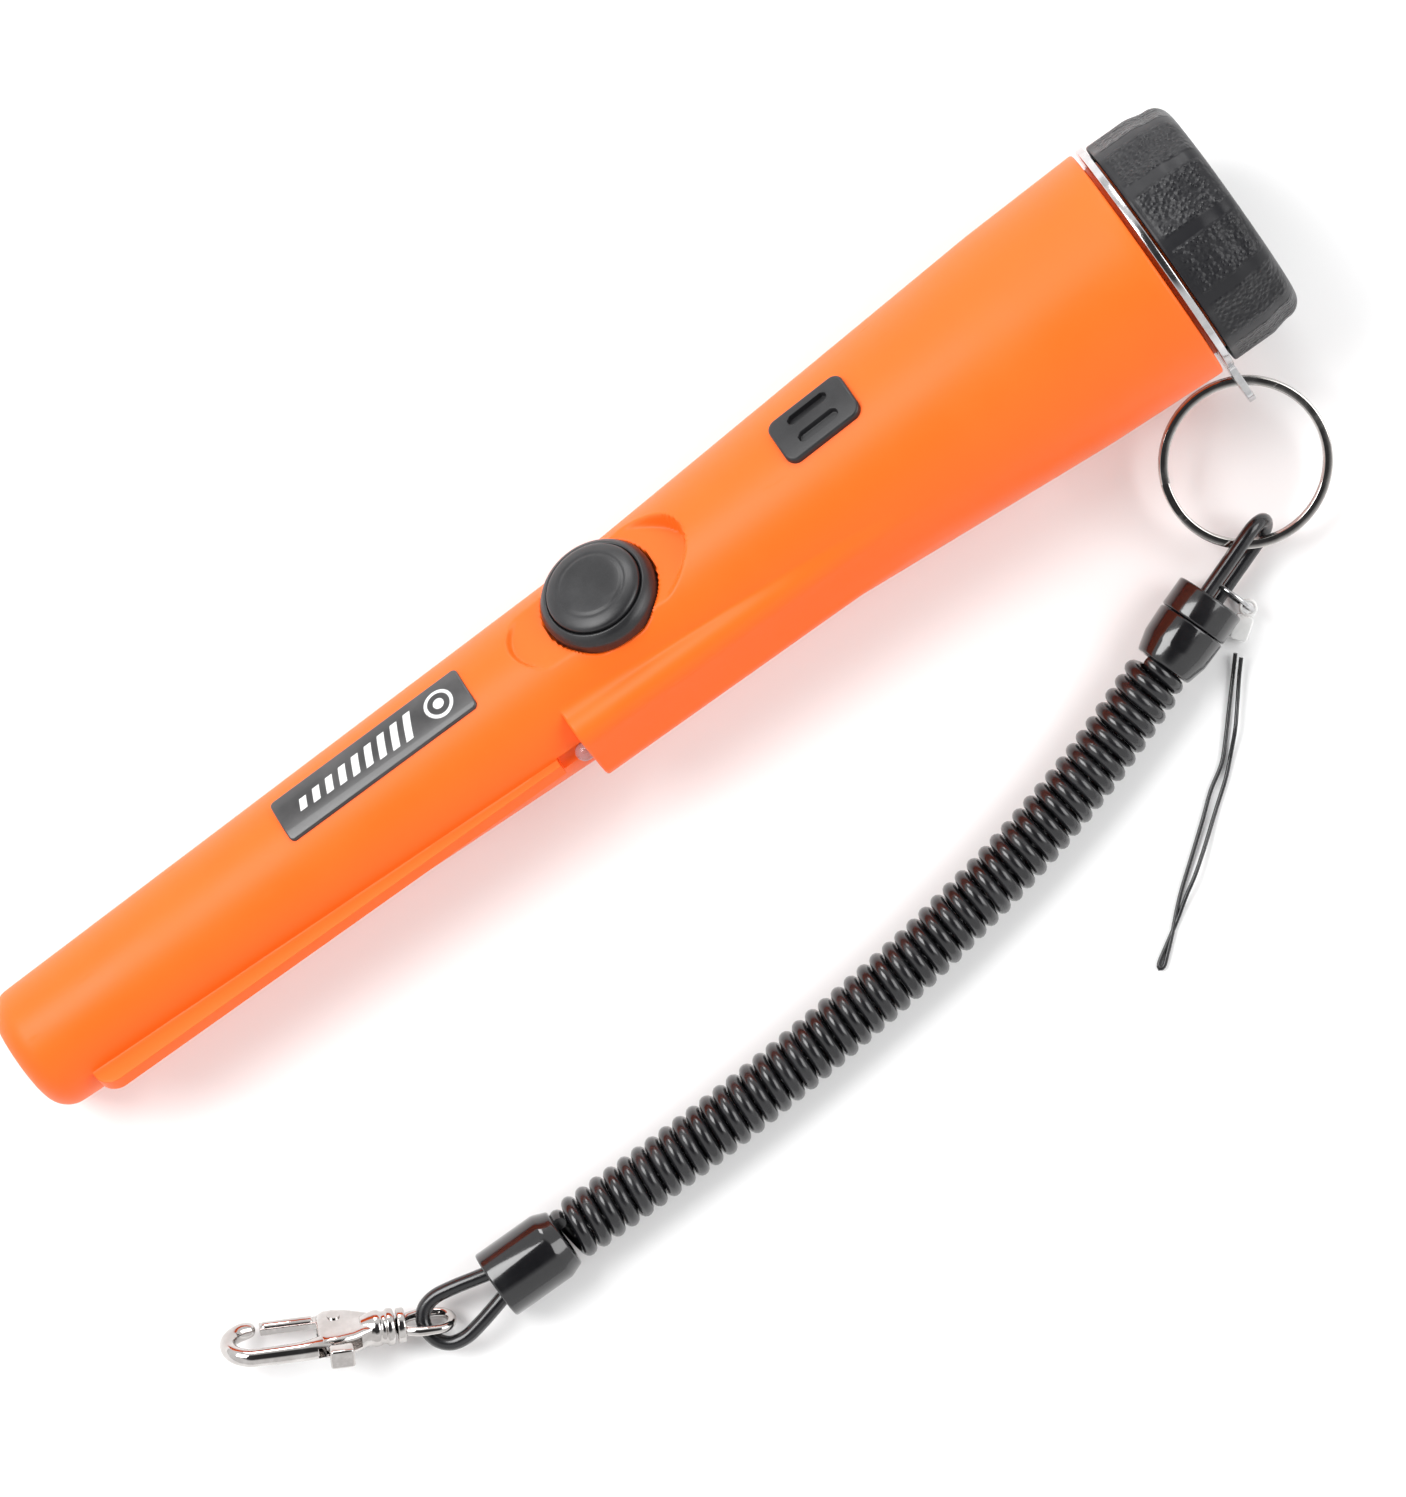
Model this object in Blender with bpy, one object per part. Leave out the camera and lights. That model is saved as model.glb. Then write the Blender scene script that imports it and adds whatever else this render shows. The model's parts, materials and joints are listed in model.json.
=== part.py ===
"""Hand-held pinpointing metal probe with a coiled wrist lanyard: one object for each piece, in metres.

The probe lies on a surface, tip towards -X, resting on its nose and on the rim of its end washer.
Its pieces are made in its axis' frame (x along it from the tip, z up), pitched by the resting angle.
The lanyard is laid on the surface, placed by (distance along the probe, distance to its side, height).
"""

import math

import bmesh
import bpy
import numpy as np
from mathutils import Euler, Matrix, Vector

MM = 0.001
GAP = 0.3 * MM  # air between two pieces that meet

# ---- probe body -------------------------------------------------------------------------------
TIP_RADIUS = 10.9 * MM
TIP_CORNER = 4.6 * MM
TIP_CROWN = 0.5 * MM
NOSE_END = 82.0 * MM
NOSE_RADIUS = 13.2 * MM
GRIP_START = 116.5 * MM
GRIP_RADIUS = 14.2 * MM
GRIP_END = 202.0 * MM
GRIP_END_RADIUS = 20.4 * MM
SHOULDER = 223.4 * MM
SHOULDER_RADIUS = 21.3 * MM
NECK_END = 236.2 * MM
NECK_RADIUS = 18.1 * MM
GROOVE_START = 227.4 * MM
GROOVE_END = 229.4 * MM
GROOVE_RADIUS = 17.2 * MM
SEAL_WIRE = 0.6 * MM
SEAL_RADIUS = 18.05 * MM
BAY_RADIUS = 16.2 * MM
BAY_START = 170.0 * MM
BORE_NOSE = 8.6 * MM
BORE_WAIST = 9.0 * MM
BORE_FLOOR = 4.0 * MM
BORE_WAIST_START = 96.0 * MM
BORE_WAIST_END = 136.0 * MM
BORE_BEHIND = 142.5 * MM
BORE_BEHIND_RADIUS = 13.8 * MM
BAY_START_RADIUS = 15.8 * MM

# ---- scraping blade and lamp housing, on one meridian; button, label and grille on another -------
BUTTON_TURN = math.radians(-35.0)
BLADE_TURN = math.radians(55.0)
BLADE_START = 9.5 * MM
BLADE_END = 102.6 * MM
BLADE_HEIGHT = 14.95 * MM
BLADE_THICK = 2.7 * MM
SHROUD_START = 105.1 * MM
SHROUD_END = 173.0 * MM
SHROUD_HEIGHT = 17.1 * MM
SHROUD_TOP = 7.7 * MM
SHROUD_BASE = 9.6 * MM
LAMP_RADIUS = 1.6 * MM
LAMP_AXIS = 14.4 * MM

BUTTON_AT = 120.9 * MM
SEAT_RADIUS = 9.75 * MM
SEAT_FLOOR = 10.9 * MM
DOME_RADIUS = 8.0 * MM
DOME_TOP = 17.0 * MM
PAD_FLOOR = 12.6 * MM
PAD_START = 103.7 * MM
PAD_END = 138.2 * MM
PAD_HALF_WIDTH = 10.0 * MM

LABEL_START = 57.9 * MM
LABEL_END = 95.1 * MM
LABEL_WIDTH = 8.7 * MM
GRILLE_START = 158.1 * MM
GRILLE_END = 172.7 * MM
GRILLE_WIDTH = 9.2 * MM
SLOT_LENGTH = 7.5 * MM
SLOT_WIDTH = 1.7 * MM
SLOT_SPACING = 3.9 * MM

# ---- battery cap and lanyard washer --------------------------------------------------------------
WASHER_START = 224.2 * MM
WASHER_THICK = 1.25 * MM
WASHER_RADIUS = 21.4 * MM
WASHER_BORE = 18.5 * MM
TAB_DROP = math.radians(22.0)
TAB_HOLE_AT = 25.8 * MM
TAB_END = 29.8 * MM
TAB_HALF_WIDTH = 4.0 * MM
TAB_HOLE = 1.8 * MM
CAP_START = 225.9 * MM
CAP_END = 240.0 * MM
CAP_RADIUS = 20.9 * MM
CAP_BORE = 18.95 * MM
CAP_WALL = 2.6 * MM
CAP_FLUTES = 12
CAP_SCALLOP = 30.0 * MM
CAP_FLUTE_DEPTH = 0.5 * MM

# ---- inner pieces ----------------------------------------------------------------------------------
BOARD_LOW = 2.2 * MM
BOARD_THICK = 1.6 * MM
BOARD_TOP = BOARD_LOW + BOARD_THICK
BATTERY_LENGTH = 46.0 * MM
BATTERY_WIDTH = 26.2 * MM
BATTERY_THICK = 17.2 * MM
BATTERY_START = 179.5 * MM
PAD_FRONT = 225.9 * MM
PAD_RADIUS = 13.5 * MM
ROD_START = 5.6 * MM
ROD_END = 82.0 * MM
ROD_RADIUS = 4.0 * MM
FORMER_START = 12.0 * MM
FORMER_END = 48.0 * MM
FORMER_CHEEK = 8.0 * MM
CHEEK_THICK = 1.2 * MM
FORMER_BORE = 4.3 * MM
FORMER_BARREL = 5.0 * MM
WINDING_RADIUS = 7.3 * MM
BOARD_START = 99.0 * MM
BOARD_LENGTH = 66.0 * MM
BOARD_WIDTH = 14.4 * MM
CHASSIS_START = 88.0 * MM
CHASSIS_END = 166.0 * MM
CHASSIS_FOOT = 4.6 * MM
SCREWS_AT = (102.0 * MM, 162.0 * MM)
BUZZER_AT = 153.4 * MM
MOTOR_HEIGHT = 6.2 * MM
MOTOR_START = 131.5 * MM
MOTOR_END = 139.0 * MM

# ---- lanyard ----------------------------------------------------------------------------------------
RING_RADIUS = 13.5 * MM
RING_WIDE = 1.5 * MM
RING_HIGH = 1.9 * MM
RING_SKEW = math.radians(30.0)
RING_DROP = math.radians(12.5)
CORD = 2.5 * MM
COIL_OUTSIDE = 10.5 * MM
FERRULE_RADIUS = 6.0 * MM
FERRULE_LENGTH = 13.7 * MM
LOOP_HALF = 3.2 * MM
LOOP_REACH = 12.0 * MM
LOOP_TILT = math.radians(20.0)
JUMP_RADIUS = 4.1 * MM
JUMP_WIRE = 0.4 * MM
STRAP_CORD = 0.7 * MM
LINK_DROP = math.radians(35.0)
STRAP_HEAD = (-0.79, -0.60, -0.16)
GATE_AT = (20.0 * MM, 2.4 * MM)
RING_CROSSING = (211.57, 46.44, 6.0)
CLASP_PIVOT = (29.6, 74.2, 4.6)
CLASP_START = (33.4, 75.0, 3.0)
CLASP_HEAD = (-0.879, 0.4757, 0.11)
CLASP_TILT = math.radians(-60.0)
CLAW_TURN = math.radians(-60.0)
SIDES = 56

# Lanyard routes: (distance along the probe, distance to its side, height) in millimetres.
COIL_ROUTE = (
    (187.95, 54.86, 6.0), (179.5, 58.0, 5.5), (169.6, 61.4, 5.3), (159.5, 64.2, 5.3), (149.3, 66.6, 5.3),
    (139.0, 68.5, 5.3), (128.7, 70.2, 5.3), (118.3, 71.4, 5.3), (107.9, 72.4, 5.3), (97.5, 73.2, 5.3),
    (87.1, 73.8, 5.3), (76.6, 74.1, 5.3), (66.1, 74.2, 5.5), (55.9, 74.2, 6.0),
)
UPPER_FACE = (201.3, 50.1, 6.0)
UPPER_HEAD = (0.942, -0.336, 0.0)
LOWER_FACE = (41.7, 74.2, 6.0)
LOWER_HEAD = (-1.0, 0.0, 0.0)
LOWER_LOOP_ROUTE = (
    (42.5, 72.0, 6.0), (39.5, 71.3, 5.6), (36.0, 70.5, 5.0), (32.5, 70.0, 4.3), (30.0, 70.6, 3.8),
    (28.6, 72.2, 3.6), (28.3, 74.2, 3.6), (28.8, 76.2, 3.6), (30.4, 77.8, 3.9), (33.0, 78.3, 4.4),
    (36.2, 77.8, 5.0), (39.5, 77.0, 5.6), (42.5, 76.2, 6.0),
)
STRAP_ROUTE = (
    (199.6, 59.9, 1.3), (197.6, 62.2, 0.7), (194.0, 66.2, 0.45), (190.6, 70.0, 0.4), (187.4, 73.3, 0.4),
    (183.4, 75.9, 0.4), (179.6, 79.0, 0.4), (175.9, 81.9, 0.4), (172.8, 84.3, 0.4), (170.0, 86.5, 0.4),
    (167.4, 88.8, 0.4), (164.6, 91.5, 0.4), (162.2, 93.6, 0.4), (160.6, 94.9, 0.4), (159.7, 94.8, 0.4),
    (160.4, 93.9, 0.4), (162.8, 92.4, 0.4), (166.7, 90.0, 0.4), (170.2, 87.6, 0.9), (173.4, 85.6, 1.3),
    (177.4, 82.7, 0.9), (182.2, 79.0, 0.4), (186.4, 75.8, 0.4), (189.2, 73.2, 0.6), (192.4, 70.0, 1.3),
    (195.4, 66.4, 1.4), (198.0, 63.2, 1.7), (199.9, 61.0, 2.2),
)


# ---- making meshes -----------------------------------------------------------------------------------
def finish(name, mesh, material, parent, crease=32.0):
    """An object of this mesh under its frame, shaded smooth apart from its creases."""
    mesh.shade_smooth()
    mesh.set_sharp_from_angle(angle=math.radians(crease))
    obj = bpy.data.objects.new(name, mesh)
    obj.data.materials.append(material)
    obj.parent = parent
    bpy.context.scene.collection.objects.link(obj)
    return obj


def mesh_of(name, bm):
    """A mesh with its doubles merged and its faces pointing out."""
    bmesh.ops.remove_doubles(bm, verts=bm.verts, dist=1e-7)
    bmesh.ops.recalc_face_normals(bm, faces=bm.faces)
    mesh = bpy.data.meshes.new(name)
    bm.to_mesh(mesh)
    bm.free()
    return mesh


def turned(name, profile, sides=SIDES, ring=False, axis="X"):
    """A body of revolution of (along, radius) points; a ring's is closed, any other ends on the axis."""
    bm = bmesh.new()
    points = [Vector((along, 0.0, radius)) for along, radius in profile]
    verts = [bm.verts.new(p) for p in points]
    pairs = list(zip(verts, verts[1:]))
    if ring:
        pairs.append((verts[-1], verts[0]))
    edges = [bm.edges.new(pair) for pair in pairs]
    bmesh.ops.spin(
        bm, geom=verts + edges, axis=(1, 0, 0), cent=(0, 0, 0), steps=sides, angle=math.tau, use_merge=True
    )
    if axis == "Z":
        bmesh.ops.rotate(bm, verts=bm.verts, matrix=Matrix.Rotation(-math.pi / 2, 3, "Y"))
    return mesh_of(name, bm)


def prism(name, outline, low, high, plane="XY"):
    """An outline of (a, b) points pushed from low to high: along Z for plane XY, X for YZ, Y for XZ."""
    place = {
        "XY": lambda a, b, c: (a, b, c),
        "YZ": lambda a, b, c: (c, a, b),
        "XZ": lambda a, b, c: (a, c, b),
    }[plane]
    bm = bmesh.new()
    base = [bm.verts.new(place(a, b, low)) for a, b in outline]
    face = bm.faces.new(base)
    up = bmesh.ops.extrude_face_region(bm, geom=[face])["geom"]
    moved = [v for v in up if isinstance(v, bmesh.types.BMVert)]
    bmesh.ops.translate(bm, verts=moved, vec=Vector(place(0, 0, high)) - Vector(place(0, 0, low)))
    return mesh_of(name, bm)


def rounded(half_a, half_b, radius, steps=5, centre=(0.0, 0.0)):
    """A rectangle's outline with round corners."""
    points = []
    corners = ((1, 1, 0.0), (-1, 1, 0.5), (-1, -1, 1.0), (1, -1, 1.5))
    for sign_a, sign_b, start in corners:
        for step in range(steps + 1):
            angle = math.pi * (start + 0.5 * step / steps)
            a = sign_a * (half_a - radius) + radius * math.cos(angle)
            b = sign_b * (half_b - radius) + radius * math.sin(angle)
            points.append((centre[0] + a, centre[1] + b))
    return points


def ellipse(half_a, half_b, centre=(0.0, 0.0), steps=40):
    turns = [math.tau * i / steps for i in range(steps)]
    return [(centre[0] + half_a * math.cos(a), centre[1] + half_b * math.sin(a)) for a in turns]


def arc(centre, radius, start, end, steps):
    """Points of an arc between two angles in degrees."""
    angles = [math.radians(start + (end - start) * i / steps) for i in range(steps + 1)]
    return [(centre[0] + radius * math.cos(a), centre[1] + radius * math.sin(a)) for a in angles]


def smooth_route(points, count):
    """count points, evenly spaced along a Catmull-Rom curve through the given ones."""
    p = np.array(points, float)
    p = np.vstack([2 * p[0] - p[1], p, 2 * p[-1] - p[-2]])
    fine = []
    for i in range(1, len(p) - 2):
        for t in np.linspace(0, 1, 24, endpoint=False):
            a = 2 * p[i]
            b = p[i + 1] - p[i - 1]
            c = 2 * p[i - 1] - 5 * p[i] + 4 * p[i + 1] - p[i + 2]
            d = 3 * p[i] - p[i - 1] - 3 * p[i + 1] + p[i + 2]
            fine.append(0.5 * (a + b * t + c * t**2 + d * t**3))
    fine.append(p[-2])
    fine = np.array(fine)
    along = np.concatenate([[0], np.cumsum(np.linalg.norm(np.diff(fine, axis=0), axis=1))])
    wanted = np.linspace(0, along[-1], count)
    return [Vector([np.interp(s, along, fine[:, k]) for k in range(3)]) for s in wanted]


def tube(name, route, radius, material, parent, resolution=2, closed=False):
    """A round tube along a route, with filled ends."""
    curve = bpy.data.curves.new(name, "CURVE")
    curve.dimensions = "3D"
    curve.bevel_depth = radius
    curve.bevel_resolution = resolution
    curve.use_fill_caps = not closed
    spline = curve.splines.new("POLY")
    spline.points.add(len(route) - 1)
    for point, place in zip(spline.points, route):
        point.co = (*place, 1.0)
    spline.use_cyclic_u = closed
    obj = bpy.data.objects.new(name, curve)
    curve.materials.append(material)
    obj.parent = parent
    bpy.context.scene.collection.objects.link(obj)
    return obj


def helper(obj):
    """A cutter or a piece to be joined: it is left out of the object."""
    obj.hide_render = True
    obj.display_type = "WIRE"
    return obj


def boolean(obj, other, operation="DIFFERENCE"):
    """Cuts, joins or keeps the overlap with a helper."""
    modifier = obj.modifiers.new(operation.title() + "_" + helper(other).name, "BOOLEAN")
    modifier.operation = operation
    modifier.solver = "EXACT"
    modifier.object = other


def soften(obj, width, segments=2, angle=40.0):
    """Rounds an object's sharp edges, before any Boolean on it."""
    modifier = obj.modifiers.new("Edges", "BEVEL")
    modifier.width = width
    modifier.segments = segments
    modifier.limit_method = "ANGLE"
    modifier.angle_limit = math.radians(angle)


def frame(name, parent=None, location=(0, 0, 0), rotation=(0, 0, 0)):
    """An empty that pieces are placed by; a joint's empty lies on the joint's axis."""
    empty = bpy.data.objects.new(name, None)
    empty.empty_display_size = 0.01
    empty.parent = parent
    empty.location = location
    empty.rotation_euler = rotation
    bpy.context.scene.collection.objects.link(empty)
    return empty


def hinged(name, parent, place, to_side=True):
    """An empty on a joint's axis, and under it one back at the parent's origin, which places the pieces."""
    point = laid([place])[0] if to_side else Vector(place) * MM
    joint = frame(name, parent, point)
    return frame(name + "_pieces", joint, -point)


def plastic(name, color, roughness, metallic=0.0):
    material = bpy.data.materials.new(name)
    material.use_nodes = True
    shader = material.node_tree.nodes["Principled BSDF"]
    shader.inputs["Base Color"].default_value = (*color, 1.0)
    shader.inputs["Roughness"].default_value = roughness
    shader.inputs["Metallic"].default_value = metallic
    return material


# ---- shape of the body -------------------------------------------------------------------------------
def outer_radius(along):
    """The body's radius behind the rounded tip."""
    stations = (TIP_CORNER, NOSE_END, GRIP_START, GRIP_END, SHOULDER)
    radii = (TIP_RADIUS, NOSE_RADIUS, GRIP_RADIUS, GRIP_END_RADIUS, SHOULDER_RADIUS)
    return float(np.interp(along, stations, radii))


def tip_profile(steps=6):
    """The crowned end and its rounded corner, from the axis to the side."""
    edge = TIP_RADIUS - TIP_CORNER
    points = [(0.0, 0.0), (TIP_CROWN * 0.25, edge * 0.5), (TIP_CROWN, edge)]
    for i in range(1, steps + 1):
        angle = 0.5 * math.pi * i / steps
        points.append(
            (TIP_CROWN + TIP_CORNER * (1 - math.cos(angle)), edge + TIP_CORNER * math.sin(angle))
        )
    return points


def skin_segment(name, start, end, inner, outer, steps=4):
    """A turned shell that follows the body's side between two stations, offset from it."""
    stations = [start + (end - start) * i / steps for i in range(steps + 1)]
    profile = [(x, outer_radius(x) + outer) for x in stations]
    profile += [(x, outer_radius(x) + inner) for x in reversed(stations)]
    return turned(name, profile, ring=True)


# ---- the probe's shell ----------------------------------------------------------------------------------
def make_housing(axis, button_line, blade_line, orange):
    profile = tip_profile() + [
        (NOSE_END, NOSE_RADIUS),
        (GRIP_START, GRIP_RADIUS),
        (GRIP_END, GRIP_END_RADIUS),
        (SHOULDER, SHOULDER_RADIUS),
        (SHOULDER, NECK_RADIUS),
        (GROOVE_START, NECK_RADIUS),
        (GROOVE_START, GROOVE_RADIUS),
        (GROOVE_END, GROOVE_RADIUS),
        (GROOVE_END, NECK_RADIUS),
        (NECK_END - 0.6 * MM, NECK_RADIUS),
        (NECK_END, NECK_RADIUS - 0.6 * MM),
        (NECK_END, 0.0),
    ]
    housing = finish("housing", turned("housing", profile), orange, axis)

    root = 8.0 * MM
    nose = [(BLADE_START, root), (BLADE_START, TIP_RADIUS - 0.4 * MM)]
    nose += arc((BLADE_START + 3.6 * MM, BLADE_HEIGHT - 3.6 * MM), 3.6 * MM, 175, 90, 5)
    blade_outline = nose + [(BLADE_END, BLADE_HEIGHT), (BLADE_END, root)]
    half = 0.5 * BLADE_THICK
    blade = finish("blade", prism("blade", blade_outline, -half, half, "XZ"), orange, blade_line)
    boolean(housing, blade, "UNION")

    low = 6.0 * MM
    corner = 3.6 * MM
    side = math.degrees(math.atan2(SHROUD_BASE - SHROUD_TOP, SHROUD_HEIGHT - low))
    centre = (SHROUD_TOP - corner, SHROUD_HEIGHT - corner)
    right = arc(centre, corner, -side, 90, 6)
    outline = [(SHROUD_BASE, low)] + right
    outline += [(-y, z) for y, z in reversed(right)] + [(-SHROUD_BASE, low)]
    shroud = finish(
        "shroud", prism("shroud", outline, SHROUD_START, SHROUD_END, "YZ"), orange, blade_line
    )
    boolean(housing, shroud, "UNION")

    bore = [
        (BORE_FLOOR, 0.0),
        (BORE_FLOOR, BORE_NOSE),
        (BORE_WAIST_START, BORE_WAIST),
        (BORE_WAIST_END, BORE_WAIST),
        (BORE_BEHIND, BORE_BEHIND_RADIUS),
        (BAY_START, BAY_START_RADIUS),
        (BAY_START + 7 * MM, BAY_RADIUS),
        (NECK_END + 5 * MM, BAY_RADIUS),
        (NECK_END + 5 * MM, 0.0),
    ]
    boolean(housing, finish("cut_bore", turned("cut_bore", bore, 40), orange, axis))

    middle = 0.5 * (PAD_START + PAD_END)
    pad = ellipse(0.5 * (PAD_END - PAD_START), PAD_HALF_WIDTH, (middle, 0))
    cut_pad = finish("cut_pad", prism("cut_pad", pad, PAD_FLOOR, 26 * MM), orange, button_line)
    boolean(housing, cut_pad)

    seat = [(SEAT_FLOOR, 0), (SEAT_FLOOR, SEAT_RADIUS + GAP), (20 * MM, SEAT_RADIUS + GAP), (20 * MM, 0)]
    cut_seat = finish("cut_seat", turned("cut_seat", seat, 40, axis="Z"), orange, button_line)
    cut_seat.location.x = BUTTON_AT
    boolean(housing, cut_seat)

    stem = [(4 * MM, 0), (4 * MM, 3.3 * MM), (15 * MM, 3.3 * MM), (15 * MM, 0)]
    cut_stem = finish("cut_stem", turned("cut_stem", stem, 24, axis="Z"), orange, button_line)
    cut_stem.location.x = BUTTON_AT
    boolean(housing, cut_stem)

    for side_sign in (-1, 1):
        slot = rounded(0.5 * SLOT_LENGTH, 0.5 * SLOT_WIDTH, 0.6 * MM, 3)
        middle = (0.5 * (GRILLE_START + GRILLE_END), side_sign * 0.5 * SLOT_SPACING)
        slot = [(middle[0] + a, middle[1] + b) for a, b in slot]
        name = "cut_sound_left" if side_sign > 0 else "cut_sound_right"
        boolean(housing, finish(name, prism(name, slot, 10 * MM, 26 * MM), orange, button_line))

    lamp = [(SHROUD_START - 5 * MM, 0), (SHROUD_START - 5 * MM, LAMP_RADIUS + GAP)]
    lamp += [(SHROUD_START + 13 * MM, LAMP_RADIUS + GAP), (SHROUD_START + 13 * MM, 0)]
    cut_lamp = finish("cut_lamp", turned("cut_lamp", lamp, 24), orange, blade_line)
    cut_lamp.location.z = LAMP_AXIS
    boolean(housing, cut_lamp)
    channel = rounded(4 * MM, 1.6 * MM, 0.5 * MM, 2, (SHROUD_START + 10 * MM, 0))
    boolean(
        housing, finish("cut_lead", prism("cut_lead", channel, 4 * MM, 14.5 * MM), orange, blade_line)
    )
    return housing


def make_label(button_line, dark):
    shell = skin_segment("label_plate", LABEL_START - 2 * MM, LABEL_END + 2 * MM, GAP, GAP + 0.45 * MM, 3)
    label = finish("label_plate", shell, dark, button_line)
    middle = 0.5 * (LABEL_START + LABEL_END)
    outline = rounded(0.5 * (LABEL_END - LABEL_START), 0.5 * LABEL_WIDTH, 0.9 * MM, 3, (middle, 0))
    keep = finish("keep_label", prism("keep_label", outline, 4 * MM, 26 * MM), dark, button_line)
    boolean(label, keep, "INTERSECT")


def make_grille(button_line, black):
    shell = skin_segment("speaker_grille", GRILLE_START - 2 * MM, GRILLE_END + 2 * MM, GAP, 1.15 * MM, 3)
    grille = finish("speaker_grille", shell, black, button_line)
    middle = 0.5 * (GRILLE_START + GRILLE_END)
    outline = rounded(0.5 * (GRILLE_END - GRILLE_START), 0.5 * GRILLE_WIDTH, 1.9 * MM, 4, (middle, 0))
    keep = finish("keep_grille", prism("keep_grille", outline, 4 * MM, 26 * MM), black, button_line)
    boolean(grille, keep, "INTERSECT")
    for side_sign in (-1, 1):
        centre = (middle, side_sign * 0.5 * SLOT_SPACING)
        slot = rounded(0.5 * SLOT_LENGTH, 0.5 * SLOT_WIDTH, 0.6 * MM, 3, centre)
        name = "cut_slot_left" if side_sign > 0 else "cut_slot_right"
        boolean(grille, finish(name, prism(name, slot, 4 * MM, 26 * MM), black, button_line))


def make_lamp(blade_line, clear):
    """A clear lamp with a domed end just proud of the shroud's front face."""
    front = SHROUD_START - 2.2 * MM
    turns = np.linspace(0, math.pi / 2, 6)
    dome = [(front + LAMP_RADIUS * (1 - math.cos(a)), LAMP_RADIUS * math.sin(a)) for a in turns]
    body = dome + [(SHROUD_START + 5 * MM, LAMP_RADIUS), (SHROUD_START + 5 * MM, 0.0)]
    lamp = finish("led_lamp", turned("led_lamp", body, 24), clear, blade_line)
    lamp.location.z = LAMP_AXIS


def make_button(button_line, press, rubber):
    """A fixed rubber seat round the moving dome, whose stem ends on the switch plunger."""
    seat = [
        (SEAT_FLOOR + GAP, DOME_RADIUS + GAP),
        (SEAT_FLOOR + GAP, SEAT_RADIUS),
        (SEAT_FLOOR + 2.6 * MM, SEAT_RADIUS),
        (SEAT_FLOOR + 3.5 * MM, SEAT_RADIUS - 0.5 * MM),
        (SEAT_FLOOR + 4.1 * MM, DOME_RADIUS + GAP),
    ]
    seal = finish("button_seal", turned("button_seal", seat, 30, True, "Z"), rubber, button_line)
    seal.location.x = BUTTON_AT
    edge = SEAT_FLOOR + 4.4 * MM
    turns = np.linspace(0, math.pi / 2, 7)[:-1]
    crown = [(edge + (DOME_TOP - edge) * math.sin(a), DOME_RADIUS * math.cos(a)) for a in turns]
    dome = [(8.9 * MM, 0.0), (8.9 * MM, 2.6 * MM), (12.4 * MM, 2.6 * MM), (12.4 * MM, DOME_RADIUS)]
    dome += crown + [(DOME_TOP, 0.0)]
    finish("button_dome", turned("button_dome", dome, 30, axis="Z"), rubber, press)


def make_cap(axis, turn, slider, black, foam, seal_rubber, steel):
    """The screw cap, the foam disc that it presses on the battery, the O-ring and the washer with its tab."""
    middle = 0.5 * (GROOVE_START + GROOVE_END)
    turns = np.linspace(0, math.tau, 7)[:-1]
    ring = [(middle + SEAL_WIRE * math.cos(a), SEAL_RADIUS + SEAL_WIRE * math.sin(a)) for a in turns]
    finish("neck_o_ring", turned("neck_o_ring", ring, 30, True), seal_rubber, axis)

    disc = [(WASHER_START, WASHER_BORE), (WASHER_START, WASHER_RADIUS)]
    disc += [(WASHER_START + WASHER_THICK, WASHER_RADIUS), (WASHER_START + WASHER_THICK, WASHER_BORE)]
    washer = finish("lanyard_washer", turned("lanyard_washer", disc, SIDES, True), steel, axis)
    root = WASHER_BORE + 1.1 * MM
    outline = [(TAB_HALF_WIDTH, root)]
    outline += arc((0, TAB_END - TAB_HALF_WIDTH), TAB_HALF_WIDTH, 0, 180, 12) + [(-TAB_HALF_WIDTH, root)]
    inset = 0.1 * MM
    tab_line = frame("tab_line", axis, rotation=(math.pi / 2 + TAB_DROP, 0, 0))
    tab = finish(
        "washer_tab",
        prism("washer_tab", outline, WASHER_START + inset, WASHER_START + WASHER_THICK - inset, "YZ"),
        steel,
        tab_line,
    )
    boolean(washer, tab, "UNION")
    before = WASHER_START - 20 * MM
    pin = [(before, 0), (before, TAB_HOLE), (CAP_END, TAB_HOLE), (CAP_END, 0)]
    cut = finish("cut_tab_hole", turned("cut_tab_hole", pin, 20), steel, tab_line)
    cut.location.z = TAB_HOLE_AT
    boolean(washer, cut)

    edge = 3.0 * MM
    floor = CAP_END - CAP_WALL
    rim = [
        (CAP_END - edge + edge * math.cos(a), CAP_RADIUS - 0.7 * MM - edge + edge * math.sin(a))
        for a in np.linspace(0, math.pi / 2, 6)
    ]
    cup = [(CAP_END, 0.0)] + rim + [(CAP_START + 0.5 * MM, CAP_RADIUS), (CAP_START, CAP_RADIUS - 0.4 * MM)]
    cup += [(CAP_START, CAP_BORE), (floor, CAP_BORE), (floor, 0.0)]
    cap = finish("battery_cap", turned("battery_cap", cup, 60), black, turn)
    for index in range(CAP_FLUTES):
        angle = math.tau * (index + 0.5) / CAP_FLUTES
        reach = CAP_RADIUS + CAP_SCALLOP - CAP_FLUTE_DEPTH
        beyond = CAP_END + 10 * MM
        flat = [(before, 0), (before, CAP_SCALLOP), (beyond, CAP_SCALLOP), (beyond, 0)]
        name = f"cut_flute_{index}"
        cut = finish(name, turned(name, flat, 48), black, turn)
        cut.location = (0, reach * math.cos(angle), reach * math.sin(angle))
        boolean(cap, cut)
    pad = [(PAD_FRONT, 0), (PAD_FRONT, PAD_RADIUS), (floor - GAP, PAD_RADIUS), (floor - GAP, 0)]
    finish("battery_pad", turned("battery_pad", pad, 32), foam, slider)


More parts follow.
